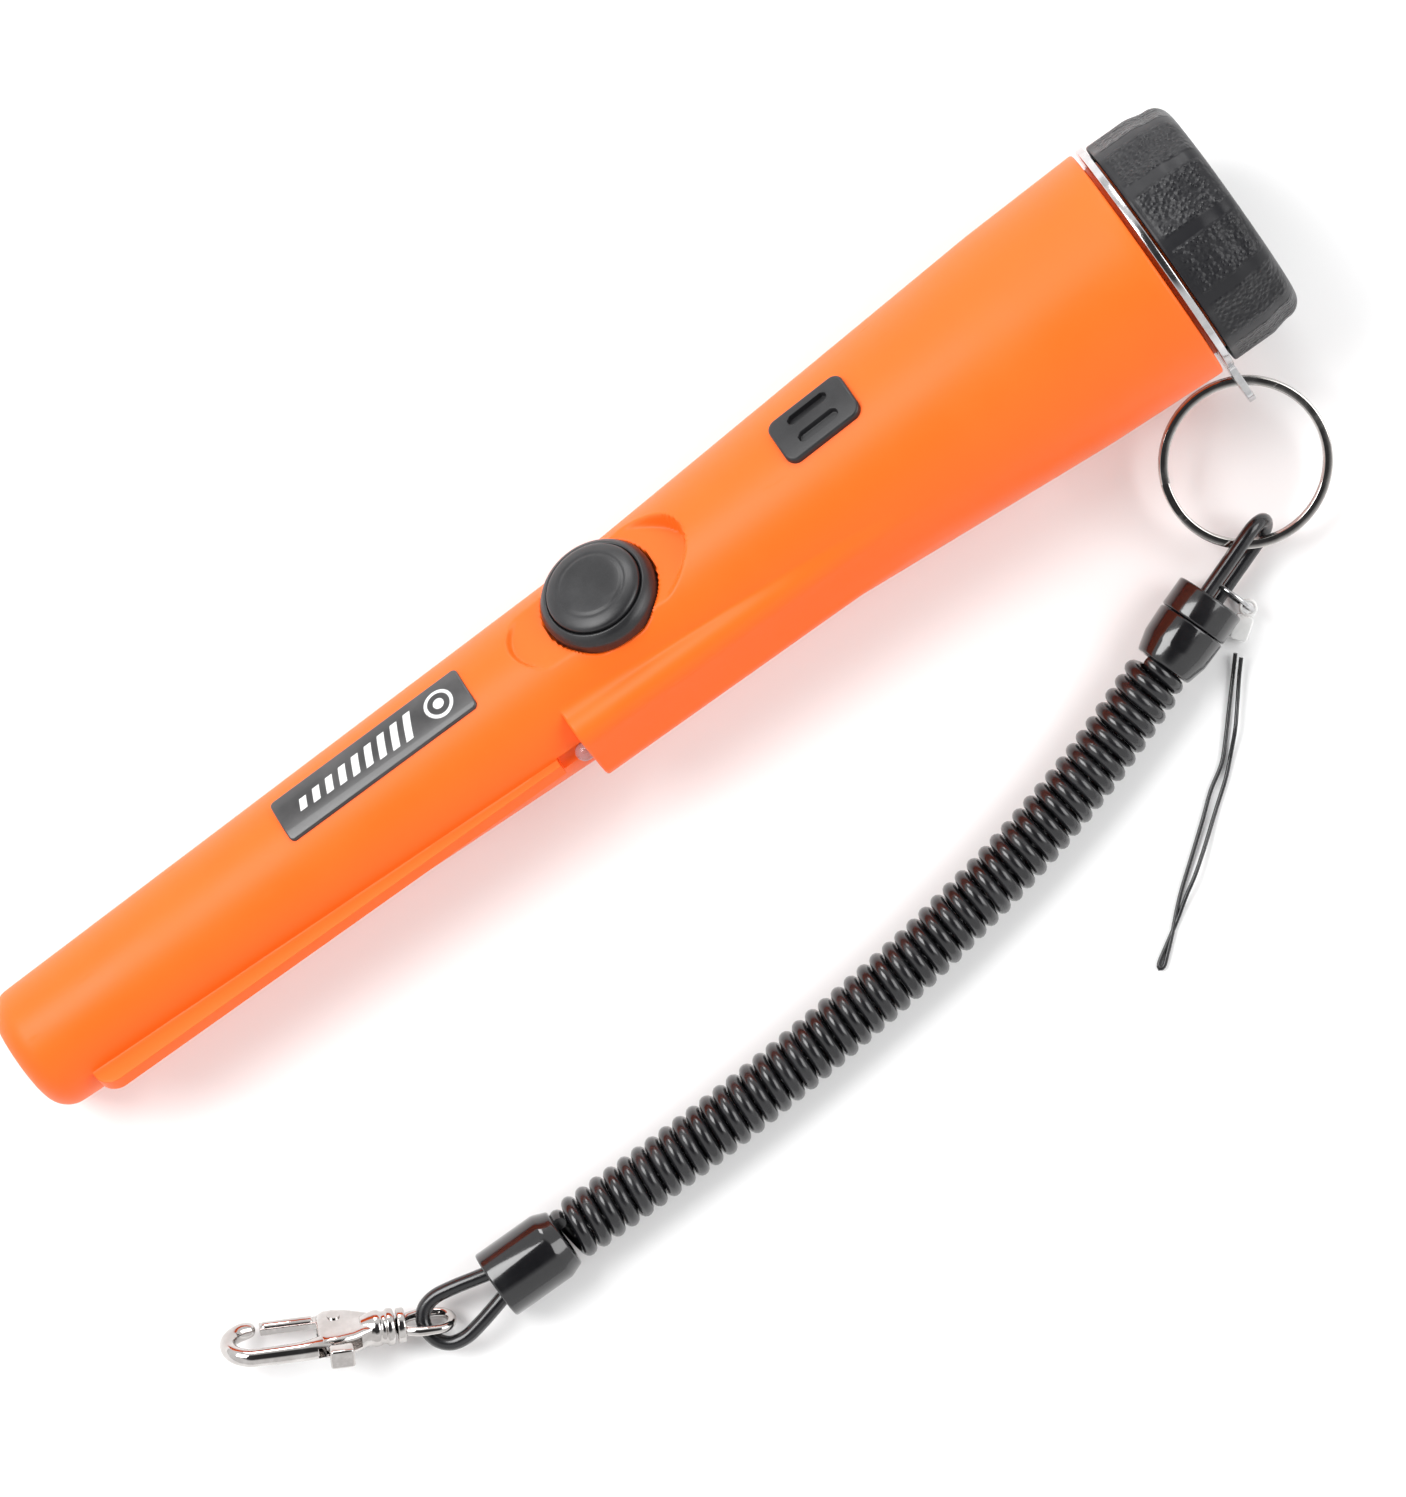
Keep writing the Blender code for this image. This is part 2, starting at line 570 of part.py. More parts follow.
def block(name, size, centre, material, parent, edge=0.0):
    """A box with rounded edges, by its (length, width, height) and its centre."""
    outline = rounded(0.5 * size[0], 0.5 * size[1], max(edge, 0.3 * MM), 3, centre[:2])
    mesh = prism(name, outline, centre[2] - 0.5 * size[2], centre[2] + 0.5 * size[2])
    return finish(name, mesh, material, parent)


def make_inside(axis, button_line, press, spin, colors):
    """Search coil in the nose, board with its parts behind it, and the battery in the grip."""
    chamfer = 0.4 * MM
    rod = [(ROD_START, 0), (ROD_START, ROD_RADIUS - chamfer), (ROD_START + chamfer, ROD_RADIUS)]
    rod += [(ROD_END - chamfer, ROD_RADIUS), (ROD_END, ROD_RADIUS - chamfer), (ROD_END, 0)]
    finish("ferrite_rod", turned("ferrite_rod", rod, 20), colors["ferrite"], axis)
    first = FORMER_START + CHEEK_THICK
    last = FORMER_END - CHEEK_THICK
    former = [(FORMER_START, FORMER_BORE), (FORMER_START, FORMER_CHEEK), (first, FORMER_CHEEK)]
    former += [(first, FORMER_BARREL), (last, FORMER_BARREL), (last, FORMER_CHEEK)]
    former += [(FORMER_END, FORMER_CHEEK), (FORMER_END, FORMER_BORE)]
    finish("coil_former", turned("coil_former", former, 28, True), colors["nylon"], axis)
    air = 0.4 * MM
    under = FORMER_BARREL + GAP
    wound = [(first + air, under), (first + air, WINDING_RADIUS)]
    wound += [(last - air, WINDING_RADIUS), (last - air, under)]
    finish("search_winding", turned("search_winding", wound, 28, True), colors["copper"], axis)

    middle = (BOARD_START + 0.5 * BOARD_LENGTH, 0, BOARD_LOW + 0.5 * BOARD_THICK)
    size = (BOARD_LENGTH, BOARD_WIDTH, BOARD_THICK)
    board = block("circuit_board", size, middle, colors["board"], button_line)
    web = 1.5 * MM
    leg = 5.8 * MM
    foot = -CHASSIS_FOOT
    deck = BOARD_LOW - GAP
    section = [
        (-leg - web, foot), (-leg, foot), (-leg, deck - web), (leg, deck - web),
        (leg, foot), (leg + web, foot), (leg + web, deck), (-leg - web, deck),
    ]
    rail = prism("chassis", section, CHASSIS_START, CHASSIS_END, "YZ")
    chassis = finish("chassis", rail, colors["nylon"], button_line)
    for index, at in enumerate(SCREWS_AT):
        hole = [(-2 * MM, 0), (-2 * MM, 1.3 * MM), (8 * MM, 1.3 * MM), (8 * MM, 0)]
        for target in (board, chassis):
            name = f"cut_screw_{target.name}_{index}"
            cut = finish(name, turned(name, hole, 16, axis="Z"), colors["steel"], button_line)
            cut.location.x = at
            boolean(target, cut)
        screw = [(-1 * MM, 0), (-1 * MM, 1.0 * MM), (BOARD_TOP + GAP, 1.0 * MM), (BOARD_TOP + GAP, 1.9 * MM)]
        screw += [(BOARD_TOP + GAP + 0.9 * MM, 1.7 * MM), (BOARD_TOP + GAP + 1.2 * MM, 0)]
        name = ("board_screw_front", "board_screw_rear")[index]
        finish(name, turned(name, screw, 16, axis="Z"), colors["steel"], button_line).location.x = at

    floor = BOARD_TOP + GAP
    size = (6 * MM, 6 * MM, 3.1 * MM)
    switch = block("tact_switch", size, (BUTTON_AT, 0, floor + 0.5 * size[2]), colors["dark"], button_line)
    bore = [(floor + 0.4 * MM, 0), (floor + 0.4 * MM, 1.8 * MM), (12 * MM, 1.8 * MM), (12 * MM, 0)]
    cut = finish("cut_plunger", turned("cut_plunger", bore, 20, axis="Z"), colors["dark"], button_line)
    cut.location.x = BUTTON_AT
    boolean(switch, cut)
    plunger = [(5.6 * MM, 0), (5.6 * MM, 1.5 * MM), (8.6 * MM, 1.5 * MM), (8.6 * MM, 0)]
    finish("switch_plunger", turned("switch_plunger", plunger, 20, axis="Z"), colors["nylon"], press)

    lid = 12.2 * MM
    vent = 1.2 * MM
    sounder = [(floor, 0), (floor, 6.0 * MM), (lid, 6.0 * MM), (lid, vent), (lid - MM, vent), (lid - MM, 0)]
    buzzer = finish("buzzer", turned("buzzer", sounder, 28, axis="Z"), colors["dark"], button_line)
    buzzer.location.x = BUZZER_AT

    motor = [(MOTOR_START, 0), (MOTOR_START, 2.0 * MM), (MOTOR_END, 2.0 * MM), (MOTOR_END, 0)]
    can = finish("vibration_motor", turned("vibration_motor", motor, 20), colors["steel"], button_line)
    can.location.z = MOTOR_HEIGHT
    half_disc = [(0, -0.9 * MM)] + arc((0, 0), 1.9 * MM, -25, 205, 10)
    weight = prism("motor_weight", half_disc, MOTOR_END + 0.5 * MM, MOTOR_END + 4 * MM, "YZ")
    finish("motor_weight", weight, colors["brass"], spin)

    middle = BATTERY_START + 0.5 * BATTERY_LENGTH
    size = (BATTERY_LENGTH, BATTERY_WIDTH, BATTERY_THICK)
    block("battery", size, (middle, 0, 0), colors["battery"], button_line, 2.0 * MM)
    snap = (BATTERY_START - 3.3 * MM, 0, 0)
    block("battery_snap", (4.5 * MM, 24 * MM, 12 * MM), snap, colors["dark"], button_line, 1.0 * MM)


# ---- the lanyard ------------------------------------------------------------------------------------------
def laid(points):
    """Lanyard points in metres: distance along, to the side (towards -Y) and height."""
    return [Vector((s * MM, -side * MM, z * MM)) for s, side, z in points]


def aimed(name, parent, place, head, up=(0, 0, 1)):
    """An empty whose x axis points along head and whose z axis is as near up as it can be."""
    x = Vector(head).normalized()
    y = Vector(up).cross(x).normalized()
    z = x.cross(y)
    turn = Matrix((x, y, z)).transposed().to_euler()
    return frame(name, parent, place, turn)


def ferrule_profile(length, coil_radius):
    """A moulded ferrule from its hollow outer face (x = 0) down to the coil (x = -length)."""
    return [
        (-1.2 * MM, 0.0), (-1.2 * MM, 4.9 * MM), (0.0, 5.0 * MM), (0.0, FERRULE_RADIUS - 0.5 * MM),
        (-0.5 * MM, FERRULE_RADIUS), (-length + 2.5 * MM, FERRULE_RADIUS),
        (-length + 0.8 * MM, coil_radius), (-length, coil_radius - 0.7 * MM), (-length, 0.0),
    ]


def make_ring(swing, nickel):
    """The split ring: a flat-sided hoop through the washer's tab, skewed and lying down to the lanyard."""
    centre = frame("ring_centre", swing, rotation=Euler((RING_DROP, 0, 0)))
    skewed = frame("ring_skew", centre, rotation=(0, 0, -RING_SKEW))
    middle = frame("ring_middle", skewed, location=(0, -RING_RADIUS, 0))
    wide = 0.5 * RING_WIDE
    high = 0.5 * RING_HIGH
    bevel = 0.35 * MM
    section = rounded(high, wide, bevel, 1, (0, RING_RADIUS))
    finish("split_ring", turned("split_ring", section, 40, True, "Z"), nickel, middle)
    return middle


def make_lanyard(hang, colors):
    """Two moulded ferrules with cord loops, and the coiled cord between them."""
    upper = aimed("upper_ferrule", hang, laid([UPPER_FACE])[0], (UPPER_HEAD[0], -UPPER_HEAD[1], 0))
    seam = 5.3 * MM
    lip = [(-1.2 * MM, 0.0), (-1.2 * MM, 4.9 * MM), (0.0, 5.0 * MM), (0.0, FERRULE_RADIUS - 0.5 * MM)]
    lip += [(-0.5 * MM, FERRULE_RADIUS), (-seam, FERRULE_RADIUS), (-seam, 0.0)]
    finish("upper_ferrule_cap", turned("upper_ferrule_cap", lip, 32), colors["gloss"], upper)
    end = -FERRULE_LENGTH
    cup = [(-seam - GAP, 0.0), (-seam - GAP, FERRULE_RADIUS), (end + 3.5 * MM, FERRULE_RADIUS - 0.2 * MM)]
    cup += [(end + 0.6 * MM, 5.2 * MM), (end, 4.6 * MM), (end, 0.0)]
    finish("upper_ferrule_body", turned("upper_ferrule_body", cup, 32), colors["gloss"], upper)

    strand = []
    for i in range(5):
        strand.append((-0.9 * MM + (LOOP_REACH + 0.9 * MM) * i / 4, LOOP_HALF))
    turns = np.linspace(0, math.pi, 11)
    bend = [(LOOP_REACH + LOOP_HALF * math.sin(a), LOOP_HALF * math.cos(a)) for a in turns]
    strand = strand[:-1] + bend + [(a, -b) for a, b in reversed(strand[:-1])]
    lean = (math.sin(LOOP_TILT), math.cos(LOOP_TILT))
    route = [Vector((a, b * lean[0], b * lean[1])) for a, b in strand]
    tube("upper_loop", route, 0.5 * CORD, colors["cord"], upper)

    coil = smooth_route(laid(COIL_ROUTE), 18)
    tube("coiled_cord", coil, 0.5 * COIL_OUTSIDE, colors["cord"], hang, 4)

    lower = aimed("lower_ferrule_frame", hang, laid([LOWER_FACE])[0], LOWER_HEAD)
    sleeve = turned("lower_ferrule", ferrule_profile(FERRULE_LENGTH, 5.3 * MM), 32)
    finish("lower_ferrule", sleeve, colors["gloss"], lower)
    tube("lower_loop", smooth_route(laid(LOWER_LOOP_ROUTE), 20), 0.5 * CORD, colors["cord"], hang)


def make_strap(ring_frame, strap, colors):
    """The jump ring on the upper loop, and the crimped thin cord loop that hangs from it."""
    turns = np.linspace(0, math.tau, 7)[:-1]
    hoop = [(JUMP_WIRE * math.cos(a), JUMP_RADIUS + JUMP_WIRE * math.sin(a)) for a in turns]
    finish("jump_ring", turned("jump_ring", hoop, 24, True), colors["steel"], ring_frame)
    route = smooth_route(laid(STRAP_ROUTE), 44)
    tube("strap_loop", route, 0.5 * STRAP_CORD, colors["cord"], strap)


def make_crimp(place, colors):
    """A white crimp with a small wire eye that links the jump ring; x runs from the eye to the cord."""
    body = rounded(2.1 * MM, 1.5 * MM, 0.5 * MM, 3, (3.4 * MM, 0))
    crimp = finish("strap_crimp", prism("strap_crimp", body, -0.9 * MM, 0.9 * MM), colors["white"], place)
    wire = 0.3 * MM
    turns = np.linspace(0, math.tau, 9)[:-1]
    eye = [(wire * math.cos(a), 1.25 * MM + wire * math.sin(a)) for a in turns]
    loop = finish("crimp_eye", turned("crimp_eye", eye, 20, True, "Z"), colors["white"], place)
    boolean(crimp, loop, "UNION")


def as_mesh(obj):
    """A mesh object with this curve's shape, so that a Boolean can use it."""
    bpy.context.view_layer.update()
    graph = bpy.context.evaluated_depsgraph_get()
    mesh = bpy.data.meshes.new_from_object(obj.evaluated_get(graph))
    solid = bpy.data.objects.new(obj.name + "_solid", mesh)
    solid.parent = obj.parent
    bpy.context.scene.collection.objects.link(solid)
    helper(obj)
    return solid


def flat_points(points):
    return [(x * MM, y * MM) for x, y in points]


def make_clasp(eye_frame, swivel, gate_frame, colors):
    """A swivel lobster clasp: an eye on a swivelling stem, the hook, and its gate with pin and spring."""
    chrome = colors["chrome"]
    half = 2.6
    side = [(9.4, 0.6), (8.6, 1.9), (6.5, half), (5.0, half)]
    bow = [(3.5 - half * math.sin(a), half * math.cos(a)) for a in np.linspace(0, math.pi, 9)]
    route = side + bow + [(x, -y) for x, y in reversed(side)]
    bar = tube("eye_bar", [Vector((x * MM, y * MM, 0)) for x, y in route], 0.9 * MM, chrome, eye_frame)
    neck = [(8.6, 0), (8.6, 2.9), (10.0, 2.9), (10.0, 1.2), (12.2, 1.2), (12.2, 2.0), (13.6, 2.0), (13.6, 0)]
    eye = finish("clasp_eye", turned("clasp_eye", flat_points(neck), 24), chrome, eye_frame)
    boolean(eye, as_mesh(bar), "UNION")

    thick = 1.9 * MM
    upper = [(12.0, 2.6), (15.4, 3.2), (17.0, 4.2), (20.0, 5.0), (25.0, 5.5)]
    outline = upper + arc((33.5, 0.0), 5.5, 85, -85, 14) + [(x, -y) for x, y in reversed(upper)]
    body = finish("clasp_body", prism("clasp_body", flat_points(outline), -thick, thick), chrome, swivel)
    soften(body, 0.6 * MM)
    barrel = flat_points([(10.4, 0), (10.4, 2.7), (10.8, 3.1), (13.0, 3.1), (15.4, 2.6), (15.4, 0)])
    boolean(body, finish("clasp_barrel", turned("clasp_barrel", barrel, 24), chrome, swivel), "UNION")
    bore = flat_points([(9.0, 0), (9.0, 1.5), (11.8, 1.5), (11.8, 2.35), (14.0, 2.35), (14.0, 0)])
    boolean(body, finish("cut_swivel", turned("cut_swivel", bore, 20), chrome, swivel))
    through = 8 * MM
    window = flat_points([(23.0, 2.9), (23.0, -2.6)] + arc((33.2, 0.0), 2.8, -90, 90, 10))
    boolean(body, finish("cut_window", prism("cut_window", window, -through, through), chrome, swivel))
    mouth = flat_points([(23.0, 1.0), (32.4, 1.0), (32.4, 9.0), (23.0, 9.0)])
    boolean(body, finish("cut_mouth", prism("cut_mouth", mouth, -through, through), chrome, swivel))
    slot = flat_points([(16.0, -9.0), (23.4, -9.0), (23.4, 9.0), (16.0, 9.0)])
    half_slot = 0.95 * MM
    boolean(body, finish("cut_slot", prism("cut_slot", slot, -half_slot, half_slot), chrome, swivel))
    pin_hole = ellipse(0.9 * MM, 0.9 * MM, (GATE_AT[0], GATE_AT[1]), 16)
    boolean(body, finish("cut_pin", prism("cut_pin", pin_hole, -through, through), chrome, swivel))

    pin = ellipse(0.6 * MM, 0.6 * MM, (GATE_AT[0], GATE_AT[1]), 16)
    finish("gate_pin", prism("gate_pin", pin, -thick + 0.1 * MM, thick - 0.1 * MM), colors["steel"], swivel)
    leaf = flat_points([(21.5, -3.8), (21.9, -3.8), (22.3, 0.6), (21.9, 0.6)])
    finish("gate_spring", prism("gate_spring", leaf, -0.6 * MM, 0.6 * MM), colors["steel"], swivel)

    hub = arc((0, 0), 1.8, 60, 205, 8)
    web = [(-1.2, -7.4), (1.0, -7.4), (1.2, -1.4), (2.4, 0.5), (12.1, 0.5), (12.1, 2.8), (1.6, 2.5)]
    lever = prism("clasp_gate", flat_points(hub + web), -0.65 * MM, 0.65 * MM)
    gate = finish("clasp_gate", lever, chrome, gate_frame)
    bar = flat_points([(3.6, 0.5), (12.1, 0.5), (12.1, 2.8), (3.6, 2.7)])
    latch = finish("gate_bar", prism("gate_bar", bar, -1.6 * MM, 1.6 * MM), chrome, gate_frame)
    boolean(gate, latch, "UNION")
    knob = rounded(2.0 * MM, 1.2 * MM, 0.5 * MM, 3, (-0.3 * MM, -9.2 * MM))
    thumb = finish("gate_thumb", prism("gate_thumb", knob, -1.7 * MM, 1.7 * MM), chrome, gate_frame)
    boolean(gate, thumb, "UNION")
    stem = flat_points([(-1.1, -8.6), (0.9, -8.6), (0.9, -6.6), (-1.1, -6.6)])
    link = finish("gate_stem", prism("gate_stem", stem, -0.65 * MM, 0.65 * MM), chrome, gate_frame)
    boolean(gate, link, "UNION")
    hole = prism("cut_gate_pin", ellipse(0.9 * MM, 0.9 * MM, (0, 0), 16), -through, through)
    boolean(gate, finish("cut_gate_pin", hole, chrome, gate_frame))


# ---- placing it all ----------------------------------------------------------------------------
def resting_pitch():
    """The angle and the tip's axis height at which the nose and the washer's rim both touch the surface."""
    rise = WASHER_RADIUS - TIP_RADIUS
    run = WASHER_START + 0.5 * WASHER_THICK - TIP_CORNER
    pitch = math.atan2(rise, run)
    height = TIP_RADIUS * math.cos(pitch) - (TIP_CORNER + TIP_CROWN) * math.sin(pitch)
    return pitch, height


def lowest_and_highest(names):
    """The box of some finished objects, in world space."""
    bpy.context.view_layer.update()
    graph = bpy.context.evaluated_depsgraph_get()
    corners = []
    for name in names:
        evaluated = bpy.data.objects[name].evaluated_get(graph)
        mesh = evaluated.to_mesh()
        places = np.empty(len(mesh.vertices) * 3)
        mesh.vertices.foreach_get("co", places)
        world = np.array(evaluated.matrix_world)
        corners.append(places.reshape(-1, 3) @ world[:3, :3].T + world[:3, 3])
        evaluated.to_mesh_clear()
    corners = np.vstack(corners)
    return corners.min(axis=0), corners.max(axis=0)


def colors_of():
    return {
        "orange": plastic("orange_shell", (1.0, 0.18, 0.02), 0.42),
        "black": plastic("black_plastic", (0.02, 0.02, 0.022), 0.5),
        "rubber": plastic("button_rubber", (0.025, 0.025, 0.027), 0.55),
        "gloss": plastic("gloss_black", (0.01, 0.01, 0.012), 0.15),
        "cord": plastic("cord_black", (0.008, 0.008, 0.01), 0.2),
        "dark": plastic("dark_parts", (0.03, 0.03, 0.035), 0.45),
        "clear": plastic("lamp_clear", (0.9, 0.93, 1.0), 0.05),
        "steel": plastic("steel", (0.75, 0.75, 0.76), 0.2, 1.0),
        "chrome": plastic("chrome", (0.85, 0.84, 0.82), 0.08, 1.0),
        "nickel": plastic("nickel", (0.8, 0.78, 0.75), 0.12, 1.0),
        "ferrite": plastic("ferrite", (0.06, 0.06, 0.07), 0.5),
        "nylon": plastic("nylon", (0.85, 0.84, 0.8), 0.5),
        "copper": plastic("copper", (0.72, 0.3, 0.13), 0.3, 1.0),
        "brass": plastic("brass", (0.75, 0.55, 0.22), 0.3, 1.0),
        "board": plastic("board_green", (0.02, 0.2, 0.07), 0.4),
        "battery": plastic("battery_case", (0.25, 0.27, 0.3), 0.35),
        "foam": plastic("foam", (0.05, 0.05, 0.06), 0.9),
        "white": plastic("white_crimp", (0.85, 0.85, 0.85), 0.35),
        "seal": plastic("seal_rubber", (0.02, 0.02, 0.02), 0.6),
    }


def build():
    for obj in list(bpy.data.objects):
        bpy.data.objects.remove(obj, do_unlink=True)
    colors = colors_of()
    pitch, height = resting_pitch()
    ground = frame("ground")
    axis = frame("probe_axis", ground, (0, 0, height), (0, -pitch, 0))
    button_line = frame("button_line", axis, rotation=(BUTTON_TURN, 0, 0))
    blade_line = frame("blade_line", axis, rotation=(BLADE_TURN, 0, 0))
    press = frame("joint_button_press", button_line, (BUTTON_AT, 0, 0))
    spin = frame("joint_motor_spin", button_line, (0, 0, MOTOR_HEIGHT))
    slider = frame("joint_cap_slide", axis)
    turn = frame("joint_cap_turn", axis)

    make_housing(axis, button_line, blade_line, colors["orange"])
    make_label(button_line, colors["dark"])
    make_grille(button_line, colors["black"])
    make_lamp(blade_line, colors["clear"])
    make_button(button_line, press, colors["rubber"])
    make_cap(axis, turn, slider, colors["black"], colors["foam"], colors["seal"], colors["steel"])
    make_inside(axis, button_line, press, spin, colors)

    hole_side = -TAB_HOLE_AT * math.cos(TAB_DROP)
    hole = (WASHER_START + 0.5 * WASHER_THICK, hole_side, -TAB_HOLE_AT * math.sin(TAB_DROP))
    swing = frame("joint_ring_swing", axis, hole)
    make_ring(swing, colors["nickel"])

    hang = hinged("joint_lanyard_swing", ground, RING_CROSSING)
    make_lanyard(hang, colors)
    head = Vector((UPPER_HEAD[0], -UPPER_HEAD[1], 0))
    side = Vector((head.y, -head.x, 0))
    on_loop = laid([UPPER_FACE])[0] + 2.3 * MM * head
    strand = on_loop + LOOP_HALF * Vector((*(math.sin(LOOP_TILT) * side).xy, -math.cos(LOOP_TILT)))
    jump_at = on_loop + 2.7 * MM * side + Vector((0, 0, -1.4 * MM))
    jump = aimed("jump_ring_line", hinged("joint_jump_ring_swing", ground, strand / MM, False), jump_at, head)
    link = jump_at + JUMP_RADIUS * (math.cos(LINK_DROP) * side - math.sin(LINK_DROP) * Vector((0, 0, 1)))
    strap = hinged("joint_strap_swing", ground, link / MM, False)
    make_strap(jump, strap, colors)
    crimp = aimed("strap_link", strap, link, STRAP_HEAD)
    make_crimp(crimp, colors)

    clasp = hinged("joint_clasp_swing", ground, CLASP_PIVOT)
    eye_frame = aimed("clasp_line", clasp, laid([CLASP_START])[0], CLASP_HEAD)
    eye_turn = frame("eye_turn", eye_frame, rotation=(CLASP_TILT, 0, 0))
    swivel = frame("joint_clasp_swivel", eye_turn, rotation=(CLAW_TURN, 0, 0))
    gate = frame("joint_gate_open", swivel, (GATE_AT[0], GATE_AT[1], 0))
    make_clasp(eye_turn, swivel, gate, colors)

    low, high = lowest_and_highest(["housing", "lanyard_washer", "battery_cap"])
    ground.location = (-0.5 * (low[0] + high[0]), -0.5 * (low[1] + high[1]), -low[2])


build()
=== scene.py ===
"""Looks of a pinpointer probe and its coiled wrist lanyard, an add-on with operators that make its pieces.

The probe's pieces are made along its own axis, x from the tip to the battery cap. The lanyard's pieces are
laid on the surface by (distance along the probe, distance to its side, height). Lengths are in metres unless
a name says otherwise.
"""

import json
import math

import bmesh
import bpy
import numpy as np
from mathutils import Matrix, Vector

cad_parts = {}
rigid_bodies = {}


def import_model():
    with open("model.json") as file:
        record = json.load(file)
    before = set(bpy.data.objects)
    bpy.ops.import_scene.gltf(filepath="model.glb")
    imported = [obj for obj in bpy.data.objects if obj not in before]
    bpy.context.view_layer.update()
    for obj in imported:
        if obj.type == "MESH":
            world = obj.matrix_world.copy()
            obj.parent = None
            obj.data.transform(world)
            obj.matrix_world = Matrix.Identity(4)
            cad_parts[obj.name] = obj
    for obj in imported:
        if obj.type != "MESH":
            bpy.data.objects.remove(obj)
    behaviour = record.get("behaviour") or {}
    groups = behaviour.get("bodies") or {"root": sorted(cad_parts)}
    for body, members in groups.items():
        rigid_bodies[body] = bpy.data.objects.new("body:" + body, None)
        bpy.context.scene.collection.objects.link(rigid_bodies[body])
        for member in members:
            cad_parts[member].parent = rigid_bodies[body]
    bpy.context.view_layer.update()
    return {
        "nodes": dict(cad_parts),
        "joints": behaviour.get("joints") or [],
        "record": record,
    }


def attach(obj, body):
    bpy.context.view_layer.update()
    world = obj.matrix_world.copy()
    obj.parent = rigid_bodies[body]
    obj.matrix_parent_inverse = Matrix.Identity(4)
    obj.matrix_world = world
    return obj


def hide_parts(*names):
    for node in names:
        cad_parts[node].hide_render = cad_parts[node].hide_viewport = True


bl_info = {
    "name": "Pinpointer Probe Looks",
    "version": (1, 0, 0),
    "blender": (4, 5, 0),
    "location": "View3D > Sidebar > Probe",
    "description": "Builds the shell, cap, button, lanyard and clasp of a pinpointer probe round its frame",
    "category": "Object",
}

for startup in list(bpy.data.objects):
    bpy.data.objects.remove(startup)
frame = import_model()

MM = 0.001

# ---- sizes along the probe's axis, the same as the frame's ----
TIP_RADIUS = 10.9 * MM
TIP_CORNER = 4.6 * MM
TIP_CROWN = 0.5 * MM
NOSE_END, NOSE_RADIUS = 82.0 * MM, 13.2 * MM
GRIP_START, GRIP_RADIUS = 116.5 * MM, 14.2 * MM
GRIP_END, GRIP_END_RADIUS = 202.0 * MM, 20.4 * MM
SHOULDER, SHOULDER_RADIUS = 223.4 * MM, 21.3 * MM
NECK_END, NECK_RADIUS = 236.2 * MM, 18.1 * MM
GROOVE_START, GROOVE_END, GROOVE_RADIUS = 227.4 * MM, 229.4 * MM, 17.2 * MM
BUTTON_TURN = math.radians(-35.0)
BLADE_TURN = math.radians(55.0)
BLADE_START, BLADE_END = 9.5 * MM, 102.6 * MM
BLADE_HEIGHT, BLADE_THICK = 14.95 * MM, 2.7 * MM
SHROUD_START, SHROUD_END = 105.1 * MM, 173.0 * MM
SHROUD_HEIGHT = 17.1 * MM
SHROUD_TOP, SHROUD_BASE, SHROUD_CORNER = 7.7 * MM, 9.6 * MM, 3.6 * MM
LAMP_RADIUS, LAMP_AXIS = 1.6 * MM, 14.4 * MM
BUTTON_AT = 120.9 * MM
SEAT_RADIUS, SEAT_FLOOR = 9.75 * MM, 10.9 * MM
DOME_RADIUS, DOME_TOP = 8.0 * MM, 17.0 * MM
PAD_START, PAD_END, PAD_HALF_WIDTH, PAD_FLOOR = 103.7 * MM, 138.2 * MM, 10.0 * MM, 12.6 * MM
LABEL_START, LABEL_END, LABEL_WIDTH = 57.9 * MM, 95.1 * MM, 8.7 * MM
GRILLE_START, GRILLE_END, GRILLE_WIDTH = 158.1 * MM, 172.7 * MM, 9.2 * MM
SLOT_LENGTH, SLOT_WIDTH, SLOT_SPACING = 7.5 * MM, 1.7 * MM, 3.9 * MM
WASHER_START, WASHER_THICK, WASHER_RADIUS, WASHER_BORE = 224.2 * MM, 1.25 * MM, 21.4 * MM, 18.5 * MM
TAB_DROP = math.radians(22.0)
TAB_HOLE_AT, TAB_END, TAB_HALF_WIDTH, TAB_HOLE = 25.8 * MM, 29.8 * MM, 4.0 * MM, 1.8 * MM
CAP_START, CAP_END, CAP_RADIUS, CAP_BORE = 225.9 * MM, 240.0 * MM, 20.9 * MM, 18.95 * MM
CAP_FLUTES, FLUTE_DEPTH, FLUTE_RADIUS = 12, 0.5 * MM, 30.0 * MM
CAP_FLOOR = CAP_END - 2.6 * MM
SCREW_PITCH = 3.0 * MM
BORE_FLOOR = 4.0 * MM
SEAL_AT, SEAL_RADIUS, SEAL_WIRE = 228.4 * MM, 18.05 * MM, 0.6 * MM
WINDING_START, WINDING_END, WINDING_RADIUS = 13.6 * MM, 46.4 * MM, 7.05 * MM
WINDING_WIRE = 0.24 * MM
GAP = 0.3 * MM

# ---- the lanyard ----
RING_RADIUS, RING_WIDE, RING_HIGH = 13.5 * MM, 1.5 * MM, 1.9 * MM
RING_SKEW, RING_DROP = math.radians(30.0), math.radians(12.5)
CORD, COIL_OUTSIDE = 2.5 * MM, 10.5 * MM
COIL_TURNS = 48
FERRULE_RADIUS, FERRULE_LENGTH, FERRULE_SEAM = 6.0 * MM, 13.7 * MM, 5.3 * MM
LOOP_HALF, LOOP_REACH, LOOP_TILT = 3.2 * MM, 12.0 * MM, math.radians(20.0)
JUMP_RADIUS, JUMP_WIRE = 4.1 * MM, 0.4 * MM
STRAP_CORD = 0.7 * MM
LINK_DROP = math.radians(35.0)
STRAP_HEAD = Vector((-0.79, -0.60, -0.16))

